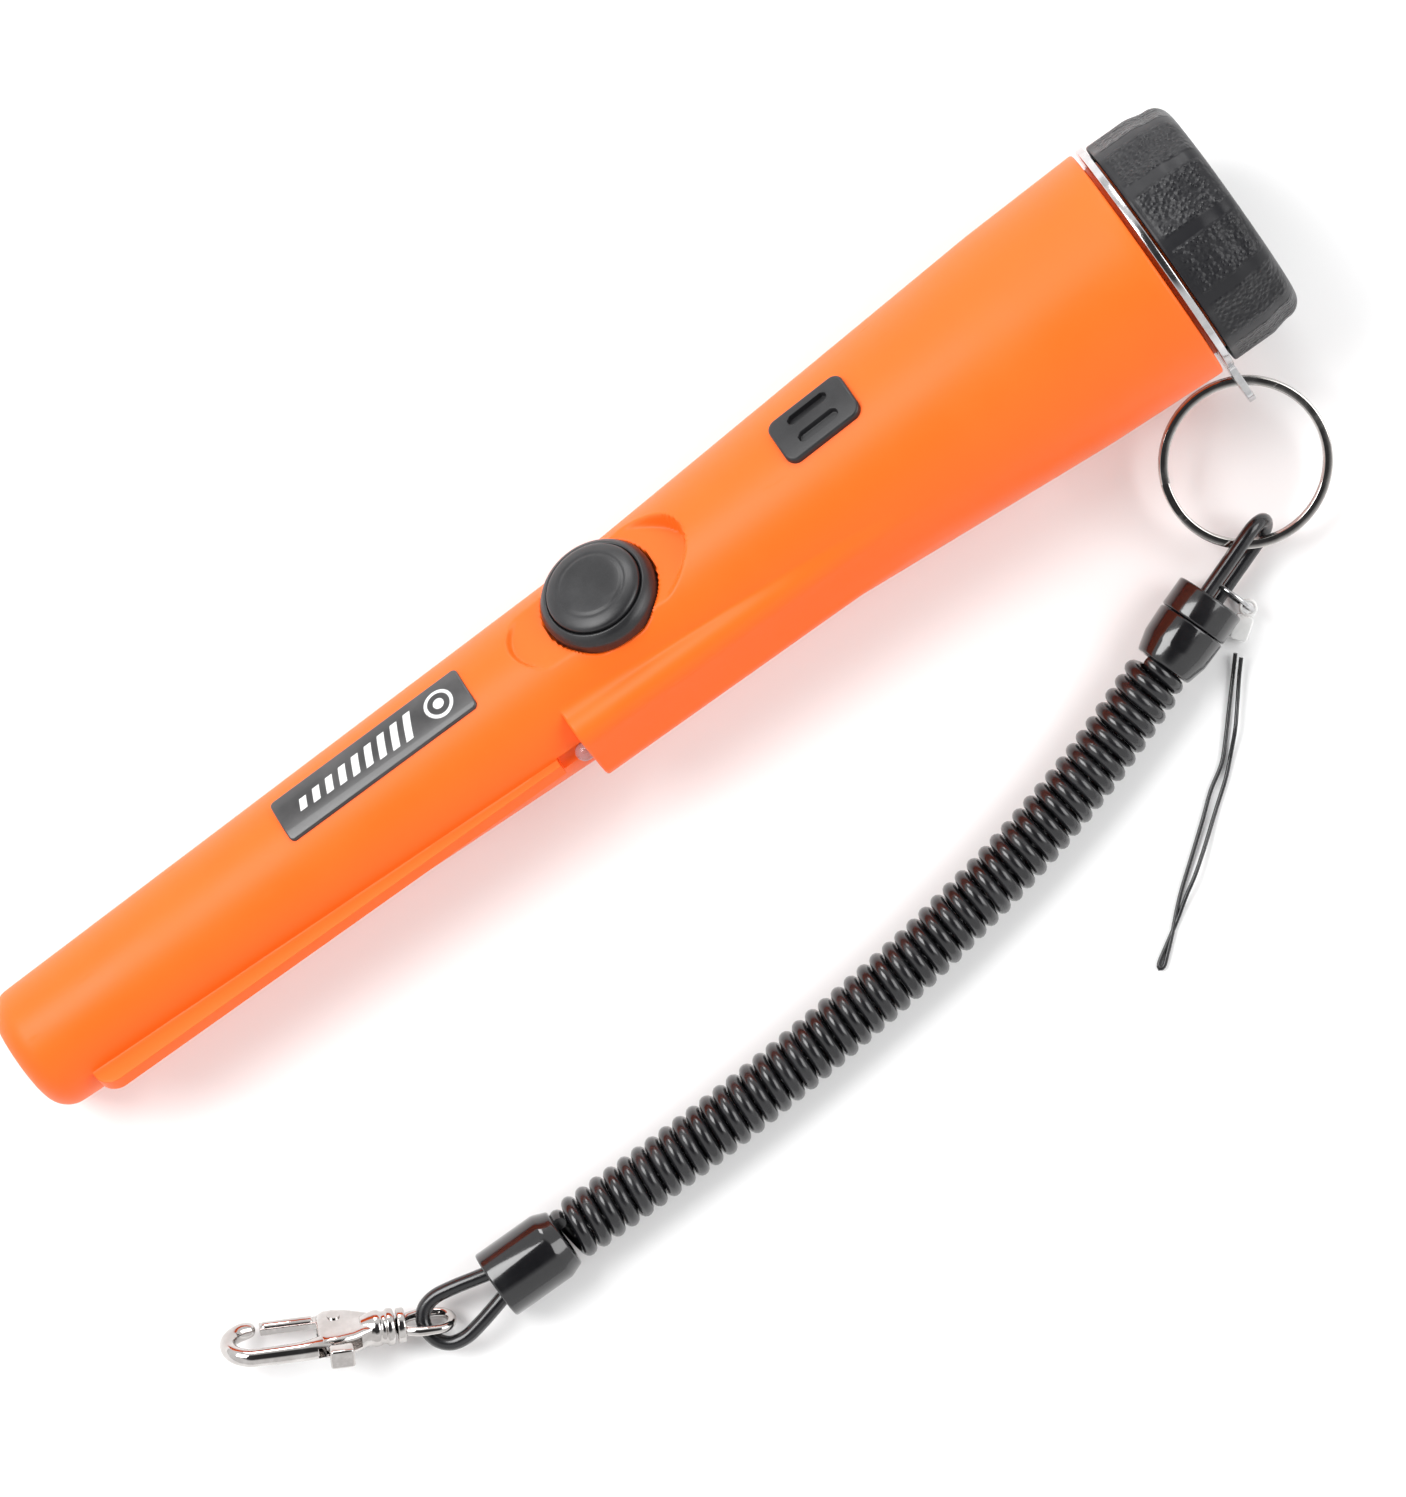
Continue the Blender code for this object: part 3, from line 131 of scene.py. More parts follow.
# Lanyard routes: (distance along the probe, distance to its side, height) in millimetres.
COIL_ROUTE = (
    (187.95, 54.86, 6.0), (179.5, 58.0, 5.5), (169.6, 61.4, 5.3), (159.5, 64.2, 5.3), (149.3, 66.6, 5.3),
    (139.0, 68.5, 5.3), (128.7, 70.2, 5.3), (118.3, 71.4, 5.3), (107.9, 72.4, 5.3), (97.5, 73.2, 5.3),
    (87.1, 73.8, 5.3), (76.6, 74.1, 5.3), (66.1, 74.2, 5.5), (55.9, 74.2, 6.0),
)
UPPER_FACE = (201.3, 50.1, 6.0)
UPPER_HEAD = Vector((0.942, 0.336, 0.0)).normalized()
LOWER_FACE = (41.7, 74.2, 6.0)
LOWER_LOOP_ROUTE = (
    (42.5, 72.0, 6.0), (39.5, 71.3, 5.6), (36.0, 70.5, 5.0), (32.5, 70.0, 4.3), (30.0, 70.6, 3.8),
    (28.6, 72.2, 3.6), (28.3, 74.2, 3.6), (28.8, 76.2, 3.6), (30.4, 77.8, 3.9), (33.0, 78.3, 4.4),
    (36.2, 77.8, 5.0), (39.5, 77.0, 5.6), (42.5, 76.2, 6.0),
)
STRAP_ROUTE = (
    (199.6, 59.9, 1.3), (197.6, 62.2, 0.7), (194.0, 66.2, 0.45), (190.6, 70.0, 0.4), (187.4, 73.3, 0.4),
    (183.4, 75.9, 0.4), (179.6, 79.0, 0.4), (175.9, 81.9, 0.4), (172.8, 84.3, 0.4), (170.0, 86.5, 0.4),
    (167.4, 88.8, 0.4), (164.6, 91.5, 0.4), (162.2, 93.6, 0.4), (160.6, 94.9, 0.4), (159.7, 94.8, 0.4),
    (160.4, 93.9, 0.4), (162.8, 92.4, 0.4), (166.7, 90.0, 0.4), (170.2, 87.6, 0.9), (173.4, 85.6, 1.3),
    (177.4, 82.7, 0.9), (182.2, 79.0, 0.4), (186.4, 75.8, 0.4), (189.2, 73.2, 0.6), (192.4, 70.0, 1.3),
    (195.4, 66.4, 1.4), (198.0, 63.2, 1.7), (199.9, 61.0, 2.2),
)

# ---- places and frames ----
JOINTS = {joint["name"]: joint for joint in frame["joints"]}


def basis(x, z, origin):
    """A matrix at an origin, whose x axis is exactly x and whose z axis is as near z as it can be."""
    x = Vector(x).normalized()
    y = Vector(z).cross(x).normalized()
    z = x.cross(y)
    turn = Matrix((x, y, z)).transposed().to_4x4()
    return Matrix.Translation(Vector(origin)) @ turn


def about(line, angle):
    """A frame turned about its own x axis."""
    return line @ Matrix.Rotation(angle, 4, "X")


PROBE = basis(JOINTS["cap_turn"]["axis"], (0, 0, 1), JOINTS["cap_turn"]["pos_m"])
PITCH = math.atan2(WASHER_RADIUS - TIP_RADIUS, WASHER_START + 0.5 * WASHER_THICK - TIP_CORNER)
TIP_HEIGHT = TIP_RADIUS * math.cos(PITCH) - (TIP_CORNER + TIP_CROWN) * math.sin(PITCH)
GROUND = PROBE.translation - Vector((0, 0, TIP_HEIGHT))
BUTTON_LINE = about(PROBE, BUTTON_TURN)
BLADE_LINE = about(PROBE, BLADE_TURN)
TAB_LINE = about(PROBE, math.pi / 2 + TAB_DROP)


def laid(point):
    """A lanyard point in metres."""
    along, side, height = point
    return GROUND + Vector((along, -side, height)) * MM


def smooth_route(points, count):
    """A lanyard's route in metres: count points on a smooth curve through the given ones."""
    return curved([laid(point) for point in points], count)


def curved(points, count):
    """count points, evenly spaced along a Catmull-Rom curve through the given ones."""
    p = np.array(points, float)
    p = np.vstack([2 * p[0] - p[1], p, 2 * p[-1] - p[-2]])
    fine = []
    for i in range(1, len(p) - 2):
        for t in np.linspace(0, 1, 24, endpoint=False):
            a = 2 * p[i]
            b = p[i + 1] - p[i - 1]
            c = 2 * p[i - 1] - 5 * p[i] + 4 * p[i + 1] - p[i + 2]
            d = 3 * p[i] - p[i - 1] - 3 * p[i + 1] + p[i + 2]
            fine.append(0.5 * (a + b * t + c * t**2 + d * t**3))
    fine.append(p[-2])
    fine = np.array(fine)
    along = np.concatenate([[0], np.cumsum(np.linalg.norm(np.diff(fine, axis=0), axis=1))])
    wanted = np.linspace(0, along[-1], count)
    return np.stack([np.interp(wanted, along, fine[:, k]) for k in range(p.shape[1])], axis=1)


def in_mm(points):
    return [(a * MM, b * MM) for a, b in points]


UPPER = basis(UPPER_HEAD, (0, 0, 1), laid(UPPER_FACE))
LOWER = basis((-1, 0, 0), (0, 0, 1), laid(LOWER_FACE))


# ---- making meshes ----
def linked(name, data, material):
    obj = bpy.data.objects.new(name, data)
    data.materials.append(material)
    bpy.context.scene.collection.objects.link(obj)
    return obj


def shaded(mesh, crease):
    """Smooth shading with sharp edges where the faces turn by more than crease degrees."""
    mesh.shade_smooth()
    mesh.set_sharp_from_angle(angle=math.radians(crease))
    return mesh


def made(name, bm, place, material, crease=35.0, recalc=True):
    """A finished piece from a bmesh: doubles merged, normals out, its place in its mesh."""
    bmesh.ops.remove_doubles(bm, verts=bm.verts, dist=1e-7)
    if recalc:
        bmesh.ops.recalc_face_normals(bm, faces=bm.faces)
    bm.transform(place)
    mesh = bpy.data.meshes.new(name)
    bm.to_mesh(mesh)
    bm.free()
    return linked(name, shaded(mesh, crease), material)


def skinned(name, points, faces, place, material, crease, attribute, values):
    """A finished piece from points and faces, with a value at each point for its material to read."""
    mesh = bpy.data.meshes.new(name)
    mesh.from_pydata(points.tolist(), [], faces)
    if values is not None:
        mesh.attributes.new(attribute, "FLOAT", "POINT").data.foreach_set("value", values)
    bm = bmesh.new()
    bm.from_mesh(mesh)
    bmesh.ops.recalc_face_normals(bm, faces=bm.faces)
    bm.transform(place)
    bm.to_mesh(mesh)
    bm.free()
    return linked(name, shaded(mesh, crease), material)


def evaluated(obj):
    """A new mesh with an object's curve settings or modifiers worked out."""
    bpy.context.view_layer.update()
    return bpy.data.meshes.new_from_object(obj.evaluated_get(bpy.context.evaluated_depsgraph_get()))


def as_bmesh(mesh):
    bm = bmesh.new()
    bm.from_mesh(mesh)
    return bm


def skirted(bm, rings):
    """Faces between neighbouring rings of vertices, with the two ends filled."""
    count = len(rings[0])
    for first, second in zip(rings, rings[1:]):
        for k in range(count):
            n = (k + 1) % count
            bm.faces.new((first[k], first[n], second[n], second[k]))
    bm.faces.new(rings[0])
    bm.faces.new(rings[-1])


def lathed(profile, sides=96, closed=False, axis="X"):
    """A bmesh turned from (along, radius) points; a ring's profile is closed, any other ends on the axis."""
    bm = bmesh.new()
    verts = [bm.verts.new((along, 0.0, radius)) for along, radius in profile]
    pairs = list(zip(verts, verts[1:]))
    if closed:
        pairs.append((verts[-1], verts[0]))
    edges = [bm.edges.new(pair) for pair in pairs]
    bmesh.ops.spin(
        bm, geom=verts + edges, axis=(1, 0, 0), cent=(0, 0, 0), steps=sides, angle=math.tau, use_merge=True
    )
    if axis == "Z":
        bmesh.ops.rotate(bm, verts=bm.verts, matrix=Matrix.Rotation(-math.pi / 2, 3, "Y"))
    return bm


def arc(centre, radius, start, end, steps):
    """Points of an arc between two angles in degrees."""
    angles = np.radians(np.linspace(start, end, steps + 1))
    return [(centre[0] + radius * math.cos(a), centre[1] + radius * math.sin(a)) for a in angles]


def circle(radius, count, centre=(0.0, 0.0)):
    turns = np.linspace(0, math.tau, count + 1)[:-1]
    return [(centre[0] + radius * math.cos(a), centre[1] + radius * math.sin(a)) for a in turns]


def rounded(half_a, half_b, radius, steps=6, centre=(0.0, 0.0)):
    """A rectangle's outline with round corners."""
    points = []
    for sign_a, sign_b, start in ((1, 1, 0), (-1, 1, 90), (-1, -1, 180), (1, -1, 270)):
        corner = (centre[0] + sign_a * (half_a - radius), centre[1] + sign_b * (half_b - radius))
        points += arc(corner, radius, start, start + 90, steps)
    return points


def softened(profile, radius, steps=4):
    """A profile whose inner corners are rounded; its two ends stay."""
    out = [profile[0]]
    for before, here, after in zip(profile, profile[1:], profile[2:]):
        a, b, c = (np.array(p, float) for p in (before, here, after))
        cut = min(radius, 0.45 * np.linalg.norm(a - b), 0.45 * np.linalg.norm(c - b))
        start = b + (a - b) / np.linalg.norm(a - b) * cut
        end = b + (c - b) / np.linalg.norm(c - b) * cut
        for t in np.linspace(0, 1, steps):
            out.append(tuple((1 - t) ** 2 * start + 2 * t * (1 - t) * b + t**2 * end))
    return out + [profile[-1]]


PLANES = {
    "XY": Matrix.Identity(4),
    "YZ": Matrix(((0, 0, 1, 0), (1, 0, 0, 0), (0, 1, 0, 0), (0, 0, 0, 1))),
}


def plate(name, outlines, low, high, edge, place, material, plane="XY"):
    """A flat plate from a closed outline and its holes, pushed from low to high, with rounded edges."""
    curve = bpy.data.curves.new(name, "CURVE")
    curve.dimensions = "2D"
    curve.fill_mode = "BOTH"
    for outline in outlines:
        spline = curve.splines.new("POLY")
        spline.points.add(len(outline) - 1)
        for point, (a, b) in zip(spline.points, outline):
            point.co = (a, b, 0.0, 1.0)
        spline.use_cyclic_u = True
    curve.extrude = 0.5 * (high - low) - edge
    curve.bevel_depth = edge
    curve.bevel_resolution = 2
    curve.offset = -edge
    holder = bpy.data.objects.new(name, curve)
    bpy.context.scene.collection.objects.link(holder)
    bm = as_bmesh(evaluated(holder))
    bpy.data.objects.remove(holder)
    bmesh.ops.translate(bm, verts=bm.verts, vec=(0, 0, 0.5 * (low + high)))
    return made(name, bm, place @ PLANES[plane], material)


def swept(name, route, section, place, material, crease=35.0):
    """A section of (side, up) points carried along a route of points, with its ends filled."""
    p = np.array(route, float)
    tangents = np.gradient(p, axis=0)
    tangents /= np.linalg.norm(tangents, axis=1)[:, None]
    bm = bmesh.new()
    rings = []
    for here, tangent in zip(p, tangents):
        up = np.array((0.0, 0.0, 1.0))
        up = up - tangent * (up @ tangent)
        up /= np.linalg.norm(up)
        side = np.cross(tangent, up)
        rings.append([bm.verts.new(here + a * side + b * up) for a, b in section])
    skirted(bm, rings)
    return made(name, bm, place, material, crease)


def joined(name, pieces):
    """Several meshes as one piece that keeps its bodies apart."""
    bm = bmesh.new()
    for piece in pieces:
        bm.from_mesh(piece.data)
    material = pieces[0].data.materials[0]
    for piece in pieces:
        bpy.data.objects.remove(piece)
    return made(name, bm, Matrix.Identity(4), material, recalc=False)


def fused(piece, other, operation="UNION"):
    """Joins or cuts a piece with another one, which is used up."""
    modifier = piece.modifiers.new("Join", "BOOLEAN")
    modifier.operation = operation
    modifier.solver = "EXACT"
    modifier.object = other
    baked(piece)
    bpy.data.objects.remove(other)
    return piece


def baked(piece):
    """Turns a piece's modifiers into its mesh."""
    mesh = evaluated(piece)
    piece.modifiers.clear()
    piece.data = shaded(mesh, 35.0)
    return piece


def bevelled(piece, width):
    modifier = piece.modifiers.new("Edges", "BEVEL")
    modifier.width = width
    modifier.segments = 3
    modifier.limit_method = "ANGLE"
    modifier.angle_limit = math.radians(35.0)
    return baked(piece)


def settle(piece, body, slot, *nodes):
    """Rides a piece on its body and lets it stand for its CAD nodes, which it hides; slot is not used."""
    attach(piece, body)
    if nodes:
        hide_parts(*nodes)
    return piece


# ---- shader groups ----
def group_start(name, inputs, outputs):
    """An empty shader group with named inputs (name, default) and named outputs."""
    tree = bpy.data.node_groups.new(name, "ShaderNodeTree")
    number = "NodeSocketFloat"
    for socket, default in inputs:
        tree.interface.new_socket(socket, in_out="INPUT", socket_type=number).default_value = default
    for socket in outputs:
        tree.interface.new_socket(socket, in_out="OUTPUT", socket_type=number)
    return tree, tree.nodes.new("NodeGroupInput"), tree.nodes.new("NodeGroupOutput")


def math_node(tree, operation, first, second):
    """A Math node whose inputs are sockets or numbers."""
    node = tree.nodes.new("ShaderNodeMath")
    node.operation = operation
    for socket, value in zip(node.inputs, (first, second)):
        if isinstance(value, (int, float)):
            socket.default_value = value
        else:
            tree.links.new(value, socket)
    return node.outputs[0]


def times(tree, first, second):
    return math_node(tree, "MULTIPLY", first, second)


def plus(tree, first, second):
    return math_node(tree, "ADD", first, second)


def noise(tree, vector, scale, detail=3.0, roughness=0.5):
    node = tree.nodes.new("ShaderNodeTexNoise")
    node.inputs["Detail"].default_value = detail
    node.inputs["Roughness"].default_value = roughness
    tree.links.new(vector, node.inputs["Vector"])
    if isinstance(scale, (int, float)):
        node.inputs["Scale"].default_value = scale
    else:
        tree.links.new(scale, node.inputs["Scale"])
    return node.outputs["Fac"]


def ranged(tree, value, low, high, to_low=0.0, to_high=1.0):
    node = tree.nodes.new("ShaderNodeMapRange")
    for index, number in enumerate((low, high, to_low, to_high)):
        node.inputs[index + 1].default_value = number
    tree.links.new(value, node.inputs[0])
    return node.outputs[0]


def moulded_grain():
    """Fine texture of a moulded part: Height for a Bump node, and Shade, a mask of its low spots."""
    tree, start, end = group_start("Moulded_Grain", (("Scale", 2500.0), ("Amount", 1.0)), ("Height", "Shade"))
    place = tree.nodes.new("ShaderNodeTexCoord").outputs["Object"]
    fine = noise(tree, place, start.outputs["Scale"], 2.0, 0.6)
    broad = noise(tree, place, times(tree, start.outputs["Scale"], 0.3), 2.0)
    both = plus(tree, times(tree, fine, 0.7), times(tree, broad, 0.3))
    tree.links.new(times(tree, both, start.outputs["Amount"]), end.inputs["Height"])
    tree.links.new(ranged(tree, both, 0.35, 0.65), end.inputs["Shade"])
    return tree


def handling_marks():
    """Faint smears of use: Smear is broad and soft, Scratch is a sparse set of fine lines along the piece."""
    tree, start, end = group_start("Handling_Marks", (("Size", 60.0), ("Lines", 900.0)), ("Smear", "Scratch"))
    place = tree.nodes.new("ShaderNodeTexCoord").outputs["Object"]
    smear = noise(tree, place, start.outputs["Size"], 4.0, 0.62)
    tree.links.new(ranged(tree, smear, 0.42, 0.66), end.inputs["Smear"])
    stretch = tree.nodes.new("ShaderNodeMapping")
    stretch.inputs["Rotation"].default_value = (0.3, 0.2, 0.5)
    stretch.inputs["Scale"].default_value = (0.06, 1.0, 1.0)
    tree.links.new(place, stretch.inputs["Vector"])
    lines = noise(tree, stretch.outputs["Vector"], start.outputs["Lines"], 1.0)
    rare = noise(tree, place, 140.0, 2.0)
    line_mask = ranged(tree, lines, 0.66, 0.72)
    tree.links.new(times(tree, line_mask, ranged(tree, rare, 0.55, 0.7)), end.inputs["Scratch"])
    return tree


def leather_pebble():
    """Pebbled relief like leather: Height for a Bump node, and Top, a mask of the pebbles' shiny tops."""
    tree, start, end = group_start("Leather_Pebble", (("Scale", 1100.0), ("Jitter", 1.0)), ("Height", "Top"))
    place = tree.nodes.new("ShaderNodeTexCoord").outputs["Object"]
    cell = tree.nodes.new("ShaderNodeTexVoronoi")
    cell.feature = "SMOOTH_F1"
    cell.inputs["Smoothness"].default_value = 0.35
    tree.links.new(place, cell.inputs["Vector"])
    tree.links.new(start.outputs["Scale"], cell.inputs["Scale"])
    tree.links.new(start.outputs["Jitter"], cell.inputs["Randomness"])
    dome = math_node(tree, "SUBTRACT", 1.0, cell.outputs["Distance"])
    wander = noise(tree, place, times(tree, start.outputs["Scale"], 0.25), 3.0)
    height = plus(tree, times(tree, dome, 0.75), times(tree, wander, 0.5))
    tree.links.new(height, end.inputs["Height"])
    tree.links.new(ranged(tree, dome, 0.55, 0.9), end.inputs["Top"])
    return tree


class Finishes:
    """The materials, each made when it is first asked for, and the groups that they share."""

    def __init__(self):
        self.groups = {}
        self.made = {}

    def group(self, maker):
        if maker not in self.groups:
            self.groups[maker] = maker()
        return self.groups[maker]

    def get(self, name):
        if name not in self.made:
            self.made[name] = RECIPES[name](name)
        return self.made[name]


FINISH = Finishes()


def base_material(name, roughness=0.5, metallic=0.0, **settings):
    """A material with its Principled BSDF; settings are socket names with _ for a space."""
    material = bpy.data.materials.new(name)
    material.use_nodes = True
    tree = material.node_tree
    shader = tree.nodes["Principled BSDF"]
    shader.inputs["Roughness"].default_value = roughness
    shader.inputs["Metallic"].default_value = metallic
    for key, value in settings.items():
        shader.inputs[key.replace("_", " ")].default_value = value
    return material, tree, shader


def placed_group(tree, maker, **values):
    node = tree.nodes.new("ShaderNodeGroup")
    node.node_tree = FINISH.group(maker)
    for key, value in values.items():
        node.inputs[key].default_value = value
    return node


def tinted(tree, mask, low, high, socket):
    """A colour that runs from low to high with a mask, led into a socket."""
    mix = tree.nodes.new("ShaderNodeMix")
    mix.data_type = "RGBA"
    mix.inputs[6].default_value = (*low, 1.0)
    mix.inputs[7].default_value = (*high, 1.0)
    tree.links.new(mask, mix.inputs[0])
    if socket is not None:
        tree.links.new(mix.outputs[2], socket)
    return mix


def bumped(tree, height, shader, distance):
    """Relief of a given depth in metres, led into the shader's normal."""
    bump = tree.nodes.new("ShaderNodeBump")
    bump.inputs["Strength"].default_value = 1.0
    bump.inputs["Distance"].default_value = distance
    tree.links.new(height, bump.inputs["Height"])
    tree.links.new(bump.outputs["Normal"], shader.inputs["Normal"])


def point_value(tree, attribute):
    """The value that a piece's mesh carries at its points."""
    node = tree.nodes.new("ShaderNodeAttribute")
    node.attribute_name = attribute
    node.attribute_type = "GEOMETRY"
    return node.outputs["Fac"]


def worn(tree, marks, shader, rough, smear_rough, scratch):
    """Roughness that goes from rough to smear_rough under the smears, and up in the scratches."""
    gloss = ranged(tree, marks.outputs["Smear"], 0.0, 1.0, rough, smear_rough)
    scratched = plus(tree, gloss, times(tree, marks.outputs["Scratch"], scratch))
    tree.links.new(scratched, shader.inputs["Roughness"])


def moulded(name, low, high, rough, smear_rough, grain, depth, size=60.0, **settings):
    """A moulded plastic or rubber: two close colours, a grain, and smears that change its gloss."""
    material, tree, shader = base_material(name, rough, **settings)
    marks = placed_group(tree, handling_marks, Size=size)
    texture = placed_group(tree, moulded_grain, Scale=grain)
    blend = plus(tree, times(tree, marks.outputs["Smear"], 0.6), times(tree, texture.outputs["Shade"], 0.4))
    tinted(tree, blend, low, high, shader.inputs["Base Color"])
    worn(tree, marks, shader, rough, smear_rough, 0.12)
    bumped(tree, texture.outputs["Height"], shader, depth)
    return material


def plated(name, low, high, rough, smear_rough, scratch=0.15, depth=0.000004):
    """Polished or plated metal with faint smears and fine scratches."""
    material, tree, shader = base_material(name, rough, 1.0)
    marks = placed_group(tree, handling_marks, Size=220.0, Lines=2600.0)
    tinted(tree, marks.outputs["Smear"], low, high, shader.inputs["Base Color"])
    worn(tree, marks, shader, rough, smear_rough, scratch)
    texture = placed_group(tree, moulded_grain, Scale=900.0)
    bumped(tree, texture.outputs["Height"], shader, depth)
    return material


def orange_shell(name):
    """The shell's moulded orange, in the colour of the settings."""
    looks = bpy.context.scene.probe_looks
    low = [0.94 * value for value in looks.shell_color]
    return moulded(name, low, looks.shell_color, 0.42, 0.49, 5200.0, 0.000018, 45.0, Specular_IOR_Level=0.3)


def cap_leather(name):
    """Black plastic with pebbled panels between smooth bands that follow the cap's flutes."""
    material, tree, shader = base_material(name, 0.42, Specular_IOR_Level=0.35)
    pebble = placed_group(tree, leather_pebble, Scale=1250.0)
    panel = point_value(tree, "panel")
    fine = placed_group(tree, moulded_grain, Scale=5000.0)
    carved = times(tree, pebble.outputs["Height"], panel)
    height = plus(tree, carved, times(tree, fine.outputs["Height"], 0.08))
    marks = placed_group(tree, handling_marks, Size=90.0)
    low, high = (0.008, 0.008, 0.01), (0.016, 0.016, 0.018)
    tinted(tree, marks.outputs["Smear"], low, high, shader.inputs["Base Color"])
    shine = times(tree, pebble.outputs["Top"], panel)
    tree.links.new(ranged(tree, shine, 0.0, 1.0, 0.4, 0.2), shader.inputs["Roughness"])
    bumped(tree, height, shader, 0.0003)
    return material


def board_green(name):
    """Solder mask with a tracery of darker copper paths under it."""
    material, tree, shader = base_material(name, 0.35, Coat_Weight=0.3)
    place = tree.nodes.new("ShaderNodeTexCoord").outputs["Object"]
    paths = tree.nodes.new("ShaderNodeTexVoronoi")
    paths.distance = "MANHATTAN"
    paths.inputs["Scale"].default_value = 420.0
    tree.links.new(place, paths.inputs["Vector"])
    mask = ranged(tree, paths.outputs["Distance"], 0.3, 0.36)
    tinted(tree, mask, (0.01, 0.09, 0.03), (0.02, 0.2, 0.07), shader.inputs["Base Color"])
    bumped(tree, mask, shader, 0.00002)
    return material


def copper_winding(name):
    """Enamelled wire wound side by side: the turns run round the probe's axis. Each turn's colour runs from dark
    copper in the gaps to bright copper on its crown, which is painted shade and painted highlight.
    """
    material, tree, shader = base_material(name, 0.28, 1.0)
    place = tree.nodes.new("ShaderNodeTexCoord").outputs["Object"]
    turn = tree.nodes.new("ShaderNodeMapping")
    turn.inputs["Rotation"].default_value = (0.0, PITCH, 0.0)
    tree.links.new(place, turn.inputs["Vector"])
    turn_relief_and_painted_shade = tree.nodes.new("ShaderNodeTexWave")
    turn_relief_and_painted_shade.inputs["Scale"].default_value = 700.0
    turn_relief_and_painted_shade.inputs["Distortion"].default_value = 0.4
    tree.links.new(turn.outputs["Vector"], turn_relief_and_painted_shade.inputs["Vector"])
    # Painted shade in the gaps between the turns and painted highlight on their crowns, from the same bands as the
    # relief
    tinted(tree, turn_relief_and_painted_shade.outputs["Fac"], (0.25, 0.06, 0.02), (0.75, 0.3, 0.12), shader.inputs["Base Color"])
    bumped(tree, turn_relief_and_painted_shade.outputs["Fac"], shader, 0.00012)
    return material


def lamp_clear(name):
    """Clear plastic of the lamp's lens, with faint smears in its gloss."""
    material, tree, shader = base_material(name, 0.06, Transmission_Weight=0.85, IOR=1.46)
    marks = placed_group(tree, handling_marks, Size=300.0)
    tinted(tree, marks.outputs["Smear"], (0.86, 0.9, 0.97), (0.95, 0.97, 1.0), shader.inputs["Base Color"])
    tree.links.new(ranged(tree, marks.outputs["Smear"], 0.0, 1.0, 0.03, 0.1), shader.inputs["Roughness"])
    return material


def label_film(name):
    """A dark printed film: the light marks are values at the points of the label's own mesh."""
    material, tree, shader = base_material(name, 0.34, Coat_Weight=0.25)
    marks = placed_group(tree, handling_marks, Size=120.0)
    ground = tinted(tree, marks.outputs["Smear"], (0.03, 0.029, 0.03), (0.05, 0.048, 0.049), None)
    ink = tree.nodes.new("ShaderNodeMix")
    ink.data_type = "RGBA"
    tree.links.new(point_value(tree, "mark"), ink.inputs[0])
    tree.links.new(ground.outputs[2], ink.inputs[6])
    ink.inputs[7].default_value = (0.88, 0.88, 0.88, 1.0)
    tree.links.new(ink.outputs[2], shader.inputs["Base Color"])
    tree.links.new(ranged(tree, marks.outputs["Smear"], 0.0, 1.0, 0.3, 0.42), shader.inputs["Roughness"])
    texture = placed_group(tree, moulded_grain, Scale=6000.0)
    bumped(tree, texture.outputs["Height"], shader, 0.000006)
    return material


def plastics(low, high, rough, smear_rough, grain, depth, size=60.0, **settings):
    return lambda name: moulded(name, low, high, rough, smear_rough, grain, depth, size, **settings)


def metals(low, high, rough, smear_rough, scratch=0.15, depth=0.000004):
    return lambda name: plated(name, low, high, rough, smear_rough, scratch, depth)


# Each finish by its slot's name: plastics and rubbers, then metals, then the ones with a recipe of their own.
RECIPES = {
    "button_rubber": plastics((0.009, 0.009, 0.01), (0.02, 0.02, 0.022), 0.34, 0.46, 4200.0, 0.00001, 80.0),
    "gloss_black": plastics(
        (0.006, 0.006, 0.007), (0.012, 0.012, 0.013), 0.12, 0.2, 900.0, 0.000006, 150.0, Coat_Weight=0.5
    ),
    "cord_black": plastics(
        (0.005, 0.005, 0.006), (0.012, 0.012, 0.014), 0.2, 0.3, 1500.0, 0.000008, 150.0, Coat_Weight=0.3
    ),
    "grille_black": plastics((0.008, 0.008, 0.009), (0.018, 0.018, 0.02), 0.4, 0.52, 3600.0, 0.00002, 100.0),
    "ferrite": plastics((0.03, 0.03, 0.035), (0.07, 0.07, 0.08), 0.45, 0.6, 2200.0, 0.00004),
    "nylon": plastics((0.72, 0.7, 0.64), (0.84, 0.83, 0.79), 0.45, 0.55, 1800.0, 0.00001, Subsurface_Weight=0.1),
    "part_dark": plastics((0.015, 0.015, 0.017), (0.035, 0.035, 0.038), 0.38, 0.5, 2600.0, 0.00001),
    "foam": plastics((0.02, 0.02, 0.022), (0.07, 0.07, 0.075), 0.85, 0.95, 1400.0, 0.0002),
    "white_crimp": plastics((0.78, 0.78, 0.77), (0.88, 0.88, 0.87), 0.22, 0.32, 1200.0, 0.000008),
    "seal_rubber": plastics((0.01, 0.01, 0.01), (0.02, 0.02, 0.02), 0.4, 0.5, 2600.0, 0.00001),
    "polished_steel": metals((0.5, 0.5, 0.51), (0.62, 0.62, 0.62), 0.12, 0.22),
    "nickel": metals((0.5, 0.48, 0.46), (0.62, 0.6, 0.58), 0.07, 0.16),
    "chrome": metals((0.5, 0.475, 0.46), (0.64, 0.615, 0.6), 0.05, 0.13),
    "brass": metals((0.62, 0.42, 0.14), (0.78, 0.58, 0.25), 0.25, 0.4),
    "battery_case": metals((0.1, 0.105, 0.115), (0.2, 0.21, 0.225), 0.28, 0.42, 0.2, 0.00001),
    "housing_orange": orange_shell,
    "black_plastic": cap_leather,
    "label_dark": label_film,
    "lamp_clear": lamp_clear,
    "copper": copper_winding,
    "board_green": board_green,
}


